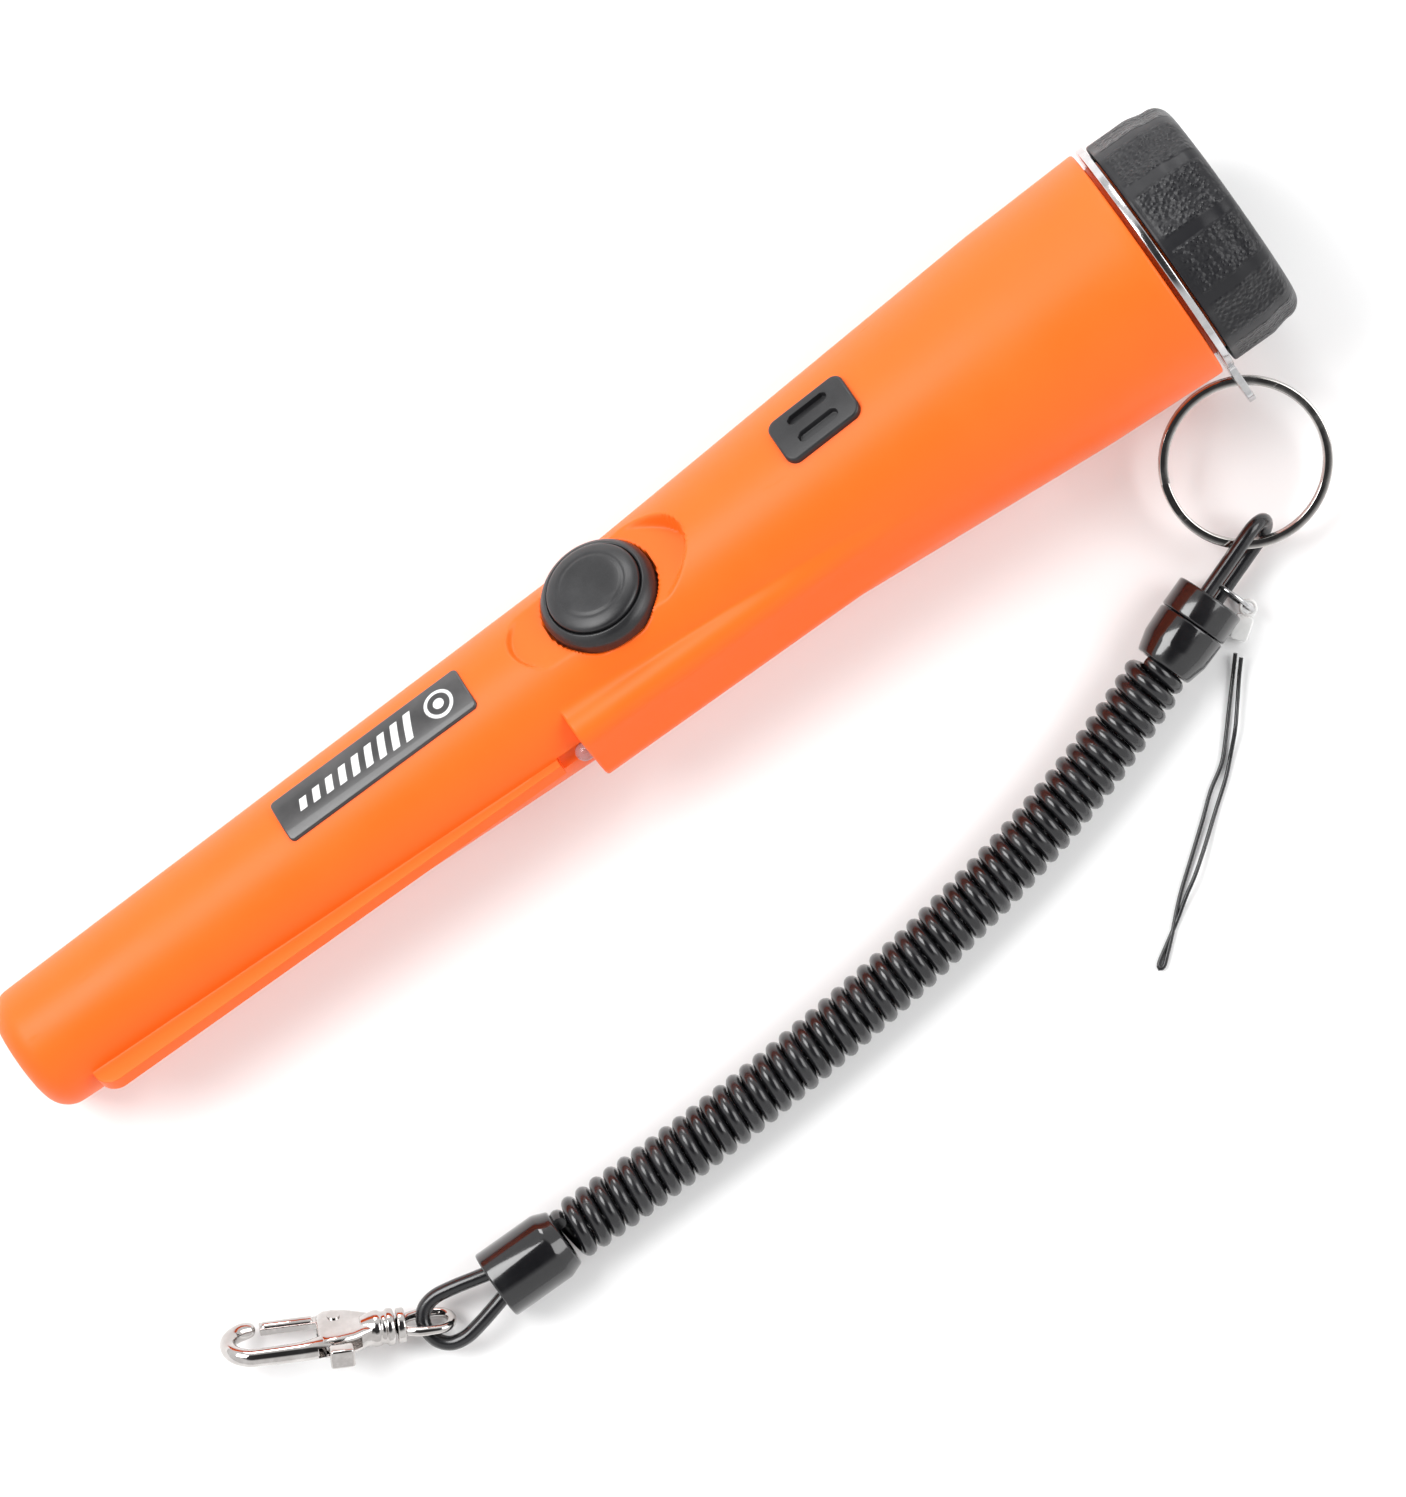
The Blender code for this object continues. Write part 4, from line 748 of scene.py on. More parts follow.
# ---- the shell ----
def outer_radius(along):
    """The body's radius behind the rounded tip."""
    stations = (TIP_CORNER, NOSE_END, GRIP_START, GRIP_END, SHOULDER)
    radii = (TIP_RADIUS, NOSE_RADIUS, GRIP_RADIUS, GRIP_END_RADIUS, SHOULDER_RADIUS)
    return np.interp(along, stations, radii)


def smooth_step(value, low, high):
    t = np.clip((value - low) / (high - low), 0.0, 1.0)
    return t * t * (3 - 2 * t)


def larger(a, b, fillet):
    """The larger of two radii, with a soft inner corner where they cross."""
    h = np.maximum(fillet - np.abs(a - b), 0.0) / fillet
    return np.maximum(a, b) + h * h * fillet * 0.25


def smaller(a, b, fillet):
    """The smaller of two radii, with a soft outer edge where they cross."""
    h = np.maximum(fillet - np.abs(a - b), 0.0) / fillet
    return np.minimum(a, b) - h * h * fillet * 0.25


def end_round(inside, radius):
    """How far a surface drops within a rounded edge, for a distance inside its end."""
    t = np.clip(inside, 0.0, radius)
    return radius - np.sqrt(radius**2 - (radius - t) ** 2)


def blade_surface(along, turn):
    """Radius of the scraping blade, a fin with a round-cornered top edge, or 0 beyond its ends."""
    nose = 3.6 * MM
    rise = np.clip(BLADE_START + nose - along, 0.0, nose)
    height = BLADE_HEIGHT - nose + np.sqrt(nose**2 - rise**2)
    height = height - end_round(BLADE_END - along, 0.35 * MM)
    side = 0.5 * BLADE_THICK / np.maximum(np.sin(np.abs(turn)), 1e-6)
    top = height / np.maximum(np.cos(turn), 0.2)
    fin = smaller(np.minimum(side, 0.05), top, 0.9 * MM)
    return np.where((along >= BLADE_START) & (along <= BLADE_END) & (np.abs(turn) < 0.5), fin, 0.0)


def shroud_surface(along, turn):
    """Radius of the lamp housing: a flat top, round shoulders and sloping sides."""
    low = 6.0 * MM
    slope = math.atan2(SHROUD_BASE - SHROUD_TOP, SHROUD_HEIGHT - low)
    centre = np.array((SHROUD_TOP - SHROUD_CORNER, SHROUD_HEIGHT - SHROUD_CORNER))
    side_start = centre + SHROUD_CORNER * np.array((math.cos(slope), -math.sin(slope)))
    normal = np.array((side_start[1] - low, SHROUD_BASE - side_start[0]))
    reach = normal @ side_start
    bend = np.abs(turn)
    top = SHROUD_HEIGHT / np.maximum(np.cos(bend), 0.2)
    side = reach / np.maximum(normal[0] * np.sin(bend) + normal[1] * np.cos(bend), 1e-6)
    toward = centre[0] * np.sin(bend) + centre[1] * np.cos(bend)
    corner = toward + np.sqrt(np.maximum(toward**2 - (centre @ centre - SHROUD_CORNER**2), 0.0))
    first = math.atan2(centre[0], SHROUD_HEIGHT)
    second = math.atan2(side_start[0], side_start[1])
    radius = np.where(bend < first, top, np.where(bend < second, corner, side))
    radius = radius - end_round(along - SHROUD_START, 0.6 * MM)
    inside = (along >= SHROUD_START) & (along <= SHROUD_END) & (bend < 1.3)
    return np.where(inside, radius, 0.0)


def shell_radius(along, angle):
    """The shell's radius at each station (rows) and angle (columns), with its blade and recesses."""
    s = along[:, None]
    radius = outer_radius(s) + 0.0 * angle[None, :]
    blade_turn = angle[None, :] - BLADE_TURN
    radius = larger(radius, blade_surface(s, blade_turn), 0.7 * MM)
    radius = larger(radius, shroud_surface(s, blade_turn), 0.8 * MM)

    bend = np.abs(blade_turn)
    offset = LAMP_AXIS * np.sin(bend)
    channel = LAMP_RADIUS + GAP
    toward = LAMP_AXIS * np.cos(bend)
    inner = toward - np.sqrt(np.maximum(channel**2 - offset**2, 0.0))
    lamp_zone = (offset < channel) & (bend < 0.5) & (s > SHROUD_START - 5.0 * MM) & (s < SHROUD_START)
    radius = np.where(lamp_zone, np.minimum(radius, inner), radius)

    button_turn = angle[None, :] - BUTTON_TURN
    facing = np.cos(button_turn)
    sideways = radius * np.sin(button_turn)
    middle = 0.5 * (PAD_START + PAD_END)
    half = 0.5 * (PAD_END - PAD_START)
    ellipse = np.sqrt(((s - middle) / half) ** 2 + (sideways / PAD_HALF_WIDTH) ** 2)
    floor = PAD_FLOOR / np.maximum(facing, 0.3)
    sunk = smaller(radius, floor, 0.25 * MM)
    wall = 1.0 - smooth_step(ellipse, 0.955, 1.0)
    radius = np.where(facing > 0.3, radius + (sunk - radius) * wall, radius)
    away = np.hypot(s - BUTTON_AT, radius * np.sin(button_turn))
    seat = SEAT_FLOOR / np.maximum(facing, 0.3)
    hole = 1.0 - smooth_step(away, SEAT_RADIUS + 0.05 * MM, SEAT_RADIUS + 0.45 * MM)
    return np.where((facing > 0.3) & (seat < radius), radius + (seat - radius) * hole, radius)


def thread(along, angle, start, end, root, crest):
    """Radius of a screw thread with round crests, fading out at both ends."""
    turn = (along[:, None] / SCREW_PITCH - angle[None, :] / math.tau) % 1.0
    ridge = smooth_step(np.abs(turn - 0.5), 0.32, 0.14)
    fade = smooth_step(along, start, start + 0.8 * MM) * smooth_step(along, end, end - 0.8 * MM)
    return root + (crest - root) * ridge * fade[:, None]


def stations(*spans):
    """Stations along the axis from (end, step) spans, the first one being the start."""
    out = [spans[0]]
    for end, step in spans[1:]:
        count = max(1, round((end - out[-1]) / step))
        out += list(np.linspace(out[-1], end, count + 1)[1:])
    return np.array(out)


def ring_skin(name, rings, angles, place, material, crease, values=None):
    """A closed skin through rings of (station, radius or radii), which starts and ends on the axis."""
    columns = len(angles)
    swing = np.stack([np.zeros(columns), -np.sin(angles), np.cos(angles)], axis=1)
    points = [np.array([[rings[0][0], 0.0, 0.0]])]
    for along, radii in rings[1:-1]:
        ring = swing * np.broadcast_to(radii, (columns,))[:, None]
        ring[:, 0] = along
        points.append(ring)
    points.append(np.array([[rings[-1][0], 0.0, 0.0]]))
    points = np.vstack(points)
    last = len(points) - 1
    here = np.arange(columns)
    ahead = (here + 1) % columns
    faces = [(0, 1 + k, 1 + (k + 1) % columns) for k in range(columns)]
    for row in range(len(rings) - 3):
        a = 1 + row * columns
        b = a + columns
        faces += np.stack([a + here, b + here, b + ahead, a + ahead], axis=1).tolist()
    a = 1 + (len(rings) - 3) * columns
    faces += [(last, a + (k + 1) % columns, a + k) for k in range(columns)]
    return skinned(name, points, faces, place, material, crease, "panel", values)


def dense_angles():
    """Angles round the body, closer together over the blade, the lamp housing and the button."""
    marks = [math.radians(v) for v in (-180, -86, 14, 47, 63, 100, 180)]
    steps = [math.radians(v) for v in (3.0, 0.9, 1.0, 0.3, 1.0, 3.0)]
    out = []
    for start, end, step in zip(marks, marks[1:], steps):
        count = max(1, round((end - start) / step))
        out += list(np.linspace(start, end, count, endpoint=False))
    return np.array(out)


def shell_rings(angles):
    """The shell's skin from the tip, over the grip and the screw neck, and back down its bore."""
    edge = TIP_RADIUS - TIP_CORNER
    rings = [(0.0, 0.0)]
    for share in (0.15, 0.35, 0.55, 0.75, 0.9, 1.0):
        rings.append((TIP_CROWN * share**2, edge * share))
    for turn in np.radians(np.linspace(6, 90, 15)):
        rings.append((TIP_CROWN + TIP_CORNER * (1 - math.cos(turn)), edge + TIP_CORNER * math.sin(turn)))
    near = 0.02 * MM
    along = stations(
        5.6 * MM, (BLADE_START - near, 1.0 * MM), (BLADE_START + 3.8 * MM, 0.2 * MM), (100.0 * MM, 2.4 * MM),
        (BLADE_END - 0.5 * MM, 0.15 * MM), (BLADE_END, 0.08 * MM), (BLADE_END + near, near),
        (SHROUD_START - near, 0.2 * MM), (SHROUD_START, near), (SHROUD_START + 0.7 * MM, 0.07 * MM),
        (PAD_END + 0.6 * MM, 0.4 * MM), (SHROUD_END, 1.6 * MM), (SHOULDER - 0.6 * MM, 2.2 * MM),
    )
    rings += list(zip(along, shell_radius(along, angles)))
    for turn in np.radians((30, 60, 90)):
        reach = 0.5 * MM
        station = SHOULDER - reach + reach * math.sin(turn)
        rings.append((station, SHOULDER_RADIUS - reach * (1 - math.cos(turn))))
    rings += [(SHOULDER, NECK_RADIUS + 0.3 * MM), (SHOULDER + 0.25 * MM, NECK_RADIUS)]
    rings += [(GROOVE_START, NECK_RADIUS), (GROOVE_START + 0.02 * MM, GROOVE_RADIUS), (GROOVE_END, GROOVE_RADIUS)]
    rings += [(GROOVE_END + 0.02 * MM, NECK_RADIUS)]
    start, end = GROOVE_END + 0.3 * MM, NECK_END - 0.4 * MM
    along = stations(start, (end, 0.16 * MM))
    rings += list(zip(along, thread(along, angles, start, end, NECK_RADIUS - 0.75 * MM, NECK_RADIUS)))
    rings += [(NECK_END, NECK_RADIUS - 1.1 * MM), (NECK_END, 16.5 * MM), (NECK_END - 0.3 * MM, 16.2 * MM)]
    rings += in_mm([(177.0, 16.2), (170.0, 15.8), (142.5, 13.8), (136.0, 9.0), (96.0, 9.0), (4.4, 8.6)])
    return rings + [(BORE_FLOOR, 8.2 * MM), (BORE_FLOOR, 4.0 * MM), (BORE_FLOOR, 0.0)]


def skin_plate(name, start, end, width, corner, top, rows, columns, material, mark=None):
    """A plate that hugs the body in line with the button. top(s, y, inside) gives its height over the body."""
    half_a, half_b = 0.5 * (end - start), 0.5 * width
    middle = 0.5 * (start + end)
    share = np.sin(np.linspace(-0.5, 0.5, rows) * math.pi * 0.999)
    along = (0.35 * share + 0.65 * np.linspace(-1, 1, rows)) * half_a
    beyond = np.clip(np.abs(along) - (half_a - corner), 0.0, corner)
    reach = half_b - corner + np.sqrt(np.maximum(corner**2 - beyond**2, (0.02 * MM) ** 2))
    across = np.linspace(-1, 1, columns)[None, :] * reach[:, None]
    s = np.broadcast_to(along[:, None], across.shape)
    over_a = np.maximum(np.abs(s) - (half_a - corner), 0.0)
    over_b = np.maximum(np.abs(across) - (half_b - corner), 0.0)
    corner_gap = corner - np.hypot(over_a, over_b)
    edge_gap = np.minimum(half_a - np.abs(s), half_b - np.abs(across))
    inside = np.maximum(np.where((over_a > 0) & (over_b > 0), corner_gap, edge_gap), 0.0)
    height = top(s, across, inside)
    radius = outer_radius(middle + s)

    def surface(lift):
        reach_out = radius + lift
        return np.stack([middle + s, across, np.sqrt(reach_out**2 - across**2)], axis=2).reshape(-1, 3)

    points = np.vstack([surface(height), surface(-0.05 * MM)])
    index = np.arange(rows * columns).reshape(rows, columns)
    corners = (index[:-1, :-1], index[1:, :-1], index[1:, 1:], index[:-1, 1:])
    quads = np.stack(corners, axis=2).reshape(-1, 4)
    under = quads[:, ::-1] + rows * columns
    border = np.concatenate([index[0, :], index[1:, -1], index[-1, -2::-1], index[-2:0:-1, 0]])
    ahead = np.roll(border, -1)
    wall = np.stack([border, ahead, ahead + rows * columns, border + rows * columns], axis=1)
    faces = np.vstack([quads, under, wall]).tolist()
    values = None
    if mark is not None:
        lit = mark(s, across).reshape(-1)
        values = np.concatenate([lit, 0.0 * lit])
    return skinned(name, points, faces, BUTTON_LINE, material, 50.0, "mark", values)


def label_marks(s, y):
    """Generic marks: a row of slanting bars that grow, then a ring with a dot."""
    blur = 0.12 * MM
    lit = np.zeros_like(s)
    for index in range(9):
        centre = -14.0 * MM + index * 2.55 * MM
        half_height = (1.1 + 0.17 * index) * MM
        slanted = s - centre - 0.35 * (y + half_height)
        bar = smooth_step(0.72 * MM - np.abs(slanted), 0.0, blur)
        lit = np.maximum(lit, bar * smooth_step(half_height - np.abs(y), 0.0, blur))
    away = np.hypot(s - 13.4 * MM, y)
    ring = smooth_step(0.34 * MM - np.abs(away - 2.3 * MM), 0.0, blur)
    dot = smooth_step(1.0 * MM - away, 0.0, blur)
    return np.maximum(lit, np.maximum(ring, dot))


def slot_depth(s, y):
    """1 inside the grille's two slots, and 0 outside."""
    half, blur = 0.5 * SLOT_WIDTH, 0.12 * MM
    deep = np.zeros_like(s)
    for sign in (-1, 1):
        run = np.maximum(np.abs(s) - 0.5 * (SLOT_LENGTH - SLOT_WIDTH), 0.0)
        away = np.hypot(run, y - sign * 0.5 * SLOT_SPACING)
        deep = np.maximum(deep, 1.0 - smooth_step(away, half - blur, half + blur))
    return deep


# ---- the battery cap ----
def pebbles(points, cell):
    """Domes of a jittered net of cells, for points on a surface: 0 between the pebbles, 1 on their tops."""
    low = np.floor(points / cell).astype(int)
    nearest = np.full(len(points), 9.0)
    for shift in np.ndindex(3, 3, 3):
        corner = low + np.array(shift) - 1
        seed = (corner[:, 0] * 73856093) ^ (corner[:, 1] * 19349663) ^ (corner[:, 2] * 83492791)
        jitter = np.stack([((seed >> bits) & 1023) / 1023.0 for bits in (3, 9, 15)], axis=1)
        away = np.linalg.norm(points / cell - (corner + jitter), axis=1)
        nearest = np.minimum(nearest, away)
    return np.clip(1.0 - nearest / 0.62, 0.0, 1.0) ** 0.7


def cap_piece(material):
    columns = 540
    angles = np.linspace(-math.pi, math.pi, columns, endpoint=False)
    phase = (angles / math.tau * CAP_FLUTES) % 1.0
    from_middle = np.abs(phase - 0.5) * math.tau / CAP_FLUTES
    chord = FLUTE_RADIUS + CAP_RADIUS - FLUTE_DEPTH
    offset = chord * np.sin(from_middle)
    hollow = chord * np.cos(from_middle) - np.sqrt(np.maximum(FLUTE_RADIUS**2 - offset**2, 0.0))
    side = smaller(hollow, np.full(columns, CAP_RADIUS), 0.25 * MM)
    panel_across = smooth_step(np.abs(phase - 0.5), 0.42, 0.36)
    edge = 3.0 * MM
    inner_edge = CAP_RADIUS - 0.7 * MM - edge
    along = stations(CAP_START + 0.55 * MM, (CAP_END - edge, 0.28 * MM))
    start = [(CAP_START, 0.985), (CAP_START + 0.1 * MM, 0.994), (CAP_START + 0.35 * MM, 1.0)]
    rows = [(station, scale * side, 0.0) for station, scale in start]
    for station in along:
        lean = 0.7 * MM * smooth_step(station, CAP_END - edge - 4.0 * MM, CAP_END - edge)
        lit = smooth_step(station, CAP_START + 0.9 * MM, CAP_START + 1.8 * MM)
        rows.append((station, side - lean, lit))
    for turn in np.linspace(0, math.pi / 2, 16)[1:]:
        radius = inner_edge + edge * math.cos(turn) - (CAP_RADIUS - side) * math.cos(turn)
        lit = 1.0 - smooth_step(turn, 0.5, 1.2)
        rows.append((CAP_END - edge + edge * math.sin(turn), radius, lit))
    swing = np.stack([-np.sin(angles), np.cos(angles)], axis=1)
    rings, values = [(CAP_START, CAP_BORE)], [np.zeros(columns)]
    for station, radii, lit in rows:
        panel = panel_across * lit
        places = np.column_stack([np.full(columns, station), swing * radii[:, None]])
        relief = 0.11 * MM * (pebbles(places, 0.85 * MM) - 0.75) * panel
        rings.append((station, radii + np.minimum(relief, 0.03 * MM)))
        values.append(panel)
    for radius, sink in ((15.2, 0.0), (14.9, 0.0), (14.7, 0.35), (14.4, 0.4), (8.0, 0.4), (3.0, 0.4), (0.5, 0.4)):
        rings.append((CAP_END - sink * MM, radius * MM))
        values.append(np.zeros(columns))
    outer = [(CAP_END - 0.4 * MM, 0.0)] + rings[:0:-1]
    start_thread, end_thread = GROOVE_END + 0.6 * MM, CAP_FLOOR - 0.6 * MM
    inner_along = stations(start_thread, (end_thread, 0.3 * MM))
    inner = [(CAP_START, CAP_BORE + 0.3 * MM), (CAP_START + 0.3 * MM, CAP_BORE)]
    inner_radii = thread(inner_along, angles, start_thread, end_thread, CAP_BORE, CAP_BORE - 0.65 * MM)
    inner += list(zip(inner_along, inner_radii))
    inner += [(CAP_FLOOR - 0.02 * MM, CAP_BORE), (CAP_FLOOR, CAP_BORE - 0.02 * MM)]
    inner += [(CAP_FLOOR, 6.0 * MM), (CAP_FLOOR, 0.0)]
    every = outer + inner
    lit = [np.zeros(1)] + values[:0:-1] + [np.zeros(columns)] * (len(inner) - 1) + [np.zeros(1)]
    return ring_skin("battery_cap_skin", every, angles, PROBE, material, 32.0, np.concatenate(lit))


# ---- metal rings and plates ----
def tab_outline():
    """The washer's outline in the plane across the axis, with its tab along +Z of the tab's own frame."""
    shoulder = 2.2 * MM
    turn = math.asin((TAB_HALF_WIDTH + shoulder) / (WASHER_RADIUS + shoulder))
    points = arc((0, 0), WASHER_RADIUS, 90 - math.degrees(turn), -270 + math.degrees(turn), 150)
    lift = (WASHER_RADIUS + shoulder) * math.cos(turn)
    points += arc((-TAB_HALF_WIDTH - shoulder, lift), shoulder, -90 + math.degrees(turn) * 0.9, 0, 8)
    points += arc((0, TAB_END - TAB_HALF_WIDTH), TAB_HALF_WIDTH, 180, 0, 28)
    points += arc((TAB_HALF_WIDTH + shoulder, lift), shoulder, 180, 270 - math.degrees(turn) * 0.9, 8)
    return points


def ring_frame():
    """The split ring's own frame: its middle, with z across the ring's plane."""
    swing = PROBE @ Matrix.Translation(
        (WASHER_START + 0.5 * WASHER_THICK, -TAB_HOLE_AT * math.cos(TAB_DROP), -TAB_HOLE_AT * math.sin(TAB_DROP))
    )
    skewed = swing @ Matrix.Rotation(RING_DROP, 4, "X") @ Matrix.Rotation(-RING_SKEW, 4, "Z")
    return skewed @ Matrix.Translation((0, -RING_RADIUS, 0))


def split_ring_piece(material):
    """One flat wire wound twice round, stepping from the lower turn to the upper one."""
    step = math.radians(11.0)
    turns = np.linspace(step, 4 * math.pi - step, 300)
    quarter = 0.25 * RING_HIGH
    height = quarter * (2 * smooth_step(turns, math.tau - step, math.tau + step) - 1) * 1.02
    start = math.radians(200.0)
    route = np.stack([RING_RADIUS * np.cos(turns + start), RING_RADIUS * np.sin(turns + start), height], axis=1)
    section = rounded(0.5 * RING_WIDE, quarter - 0.03 * MM, 0.26 * MM, 4)
    return swept("split_ring_wire", route, section, ring_frame(), material, crease=50.0)


def hoop(radius, wire, sides=64, around=16):
    return lathed(circle(wire, around, (0.0, radius)), sides, True)


# ---- the lanyard's cords ----
def cord_curve(name, points, radius, material, resolution=4):
    """A round cord along points, as a curve of one open spline."""
    curve = bpy.data.curves.new(name, "CURVE")
    curve.dimensions = "3D"
    curve.bevel_depth = radius
    curve.bevel_resolution = resolution
    curve.use_fill_caps = True
    spline = curve.splines.new("POLY")
    spline.points.add(len(points) - 1)
    for point, place in zip(spline.points, points):
        point.co = (*place, 1.0)
    spline.use_smooth = True
    return linked(name, curve, material)


def coil_points(per_turn=24):
    """The coiled cord's centreline: a helix about its route that draws in where it enters the ferrules."""
    count = COIL_TURNS * per_turn + 1
    route = smooth_route(COIL_ROUTE, count)
    step = np.gradient(route, axis=0)
    step /= np.linalg.norm(step, axis=1)[:, None]
    side = np.cross(step, (0.0, 0.0, 1.0))
    side /= np.linalg.norm(side, axis=1)[:, None]
    up = np.cross(side, step)
    share = np.linspace(0, COIL_TURNS, count)
    turn = math.tau * share + 0.8
    end = np.minimum(share, COIL_TURNS - share)
    radius = 0.5 * (COIL_OUTSIDE - CORD) - 0.7 * MM * smooth_step(end, 0.9, 0.0)
    return route + radius[:, None] * (np.cos(turn)[:, None] * side + np.sin(turn)[:, None] * up)


def upper_loop_points():
    """The upper ferrule's loop of cord: two straight strands and a half turn, leaning over."""
    inner = -2.5 * MM
    straight = [(inner + (LOOP_REACH - inner) * i / 8, LOOP_HALF) for i in range(8)]
    bend = [(LOOP_REACH + LOOP_HALF * math.sin(a), LOOP_HALF * math.cos(a)) for a in np.linspace(0, math.pi, 21)]
    strand = straight + bend + [(a, -b) for a, b in reversed(straight)]
    return [UPPER @ Vector((a, b * math.sin(LOOP_TILT), b * math.cos(LOOP_TILT))) for a, b in strand]


# ---- the clasp ----
CLASP = basis(
    JOINTS["clasp_swivel"]["axis"],
    Vector(JOINTS["gate_open"]["axis"]) * -1,
    JOINTS["clasp_swivel"]["pos_m"],
)
GATE = CLASP.copy()
GATE.translation = Vector(JOINTS["gate_open"]["pos_m"])


def clasp_eye_piece(material):
    """The round eye of drawn bar and the swivelling stem under it."""
    half = 2.6
    side = [(9.4, 0.6), (8.9, 1.4), (8.0, 2.15), (6.5, half), (5.0, half)]
    bow = [(3.5 - half * math.sin(a), half * math.cos(a)) for a in np.linspace(0, math.pi, 25)]
    path = in_mm(side + bow + [(x, -y) for x, y in reversed(side)])
    bar = swept("clasp_eye_bar", [(x, y, 0.0) for x, y in path], circle(0.82 * MM, 16), CLASP, material)
    neck = [(8.6, 0), (8.6, 2.9), (10.0, 2.9), (10.0, 1.2), (12.2, 1.2), (12.2, 2.0), (13.6, 2.0), (13.6, 0)]
    stem = made("clasp_stem", lathed(softened(in_mm(neck), 0.35 * MM), 64), CLASP, material)
    return joined("clasp_eye_ring", [stem, bar])


def tapered(name, along_bar, place, material):
    """A smooth bar along (x, y, half width, half thickness) stations in millimetres, with rounded ends."""
    points = curved(along_bar, 4 * len(along_bar))
    turns = np.linspace(0, math.tau, 25)[:-1]
    heading = np.gradient(np.array([(p[0], p[1]) for p in points]), axis=0)
    bm = bmesh.new()
    rings = []
    for (x, y, wide, thick), (dx, dy) in zip(points, heading):
        along = math.hypot(dx, dy)
        side = (-dy / along, dx / along)
        reach = wide * np.cos(turns)
        ring = zip(x + reach * side[0], y + reach * side[1], thick * np.sin(turns))
        rings.append([bm.verts.new((a * MM, b * MM, c * MM)) for a, b, c in ring])
    skirted(bm, rings)
    return made(name, bm, place, material)


def clasp_body_piece(material):
    """The claw: a cheeked head for the gate's pin, a round bar bent into the hook, and the swivel barrel."""
    upper = [(14.0, 2.5), (16.0, 3.5), (18.0, 4.4), (20.0, 4.8), (21.8, 4.7), (22.8, 3.8), (23.0, 1.8)]
    lower = [(23.0, -2.6), (22.6, -4.6), (20.0, -4.7), (17.0, -4.0), (15.4, -3.1), (14.0, -2.5)]
    body = plate("clasp_claw", [in_mm(upper + lower)], -1.9 * MM, 1.9 * MM, 0.95 * MM, CLASP, material)
    spine = [(19.4, -2.3, 2.4, 1.6), (21.5, -3.0, 2.3, 1.7), (24.0, -3.75, 1.75, 1.7), (27.0, -4.1, 1.45, 1.6)]
    spine += [(x, y, 1.35, 1.5) for x, y in arc((33.5, 0.0), 4.12, -90, 70, 9)]
    spine += [(33.9, 4.1, 1.3, 1.35), (33.1, 4.15, 1.0, 1.0), (32.75, 4.15, 0.45, 0.45)]
    fused(body, tapered("clasp_hook", spine, CLASP, material))
    slot = in_mm([(16.0, -9.0), (23.4, -9.0), (23.4, 9.0), (16.0, 9.0)])
    fused(body, prism("slot", slot, -0.95 * MM, 0.95 * MM, CLASP, material), "DIFFERENCE")
    barrel = [(10.4, 1.5), (10.4, 2.9), (10.9, 3.1), (11.6, 3.1), (11.9, 2.7), (12.5, 2.7), (12.9, 3.0)]
    barrel += [(13.6, 3.0), (14.6, 2.7), (16.0, 2.2), (16.0, 1.5)]
    tube = made("clasp_barrel", lathed(softened(in_mm(barrel), 0.2 * MM), 64, True), CLASP, material)
    rivet = []
    for low, high in ((1.75, 2.15), (-2.15, -1.75)):
        head = lathed(in_mm([(low, 0.0), (low, 1.1), (high - 0.1, 1.1), (high, 0.8), (high, 0.0)]), 32, axis="Z")
        place = CLASP @ Matrix.Translation((20.0 * MM, 2.4 * MM, 0.0))
        rivet.append(made("rivet", head, place, material))
    return joined("clasp_claw_body", [body, tube] + rivet)


def prism(name, outline, low, high, place, material, edge=0.0):
    """An outline pushed from low to high, with bevelled edges where an edge width is given."""
    bm = bmesh.new()
    face = bm.faces.new([bm.verts.new((a, b, low)) for a, b in outline])
    pushed = bmesh.ops.extrude_face_region(bm, geom=[face])["geom"]
    moved = [v for v in pushed if isinstance(v, bmesh.types.BMVert)]
    bmesh.ops.translate(bm, verts=moved, vec=(0, 0, high - low))
    piece = made(name, bm, place, material)
    return bevelled(piece, edge) if edge else piece


def clasp_gate_piece(material):
    """The sprung gate: a web round its pin, a bar that closes the mouth, and a thumb knob."""
    hub = arc((0, 0), 1.8, 60, 205, 14)
    arm = [(-1.1, -8.6), (0.9, -8.6), (1.0, -7.0), (1.2, -1.4), (2.4, 0.5), (12.1, 0.5), (12.1, 2.7), (1.6, 2.5)]
    web = in_mm(hub + arm)
    plate_web = prism("gate_web", web, -0.65 * MM, 0.65 * MM, GATE, material, 0.15 * MM)
    rod = [(3.3, 0.0), (3.3, 0.95), (3.6, 1.15), (11.4, 1.15), (12.0, 0.8), (12.0, 0.0)]
    along = GATE @ Matrix.Translation((0.0, 1.65 * MM, 0.0))
    bar = made("gate_bar", lathed(softened(in_mm(rod), 0.25 * MM), 48), along, material)
    knob_outline = rounded(2.0 * MM, 1.2 * MM, 0.5 * MM, 3, (-0.3 * MM, -9.2 * MM))
    knob = prism("gate_knob", knob_outline, -1.7 * MM, 1.7 * MM, GATE, material, 0.4 * MM)
    return joined("clasp_gate_lever", [plate_web, bar, knob])


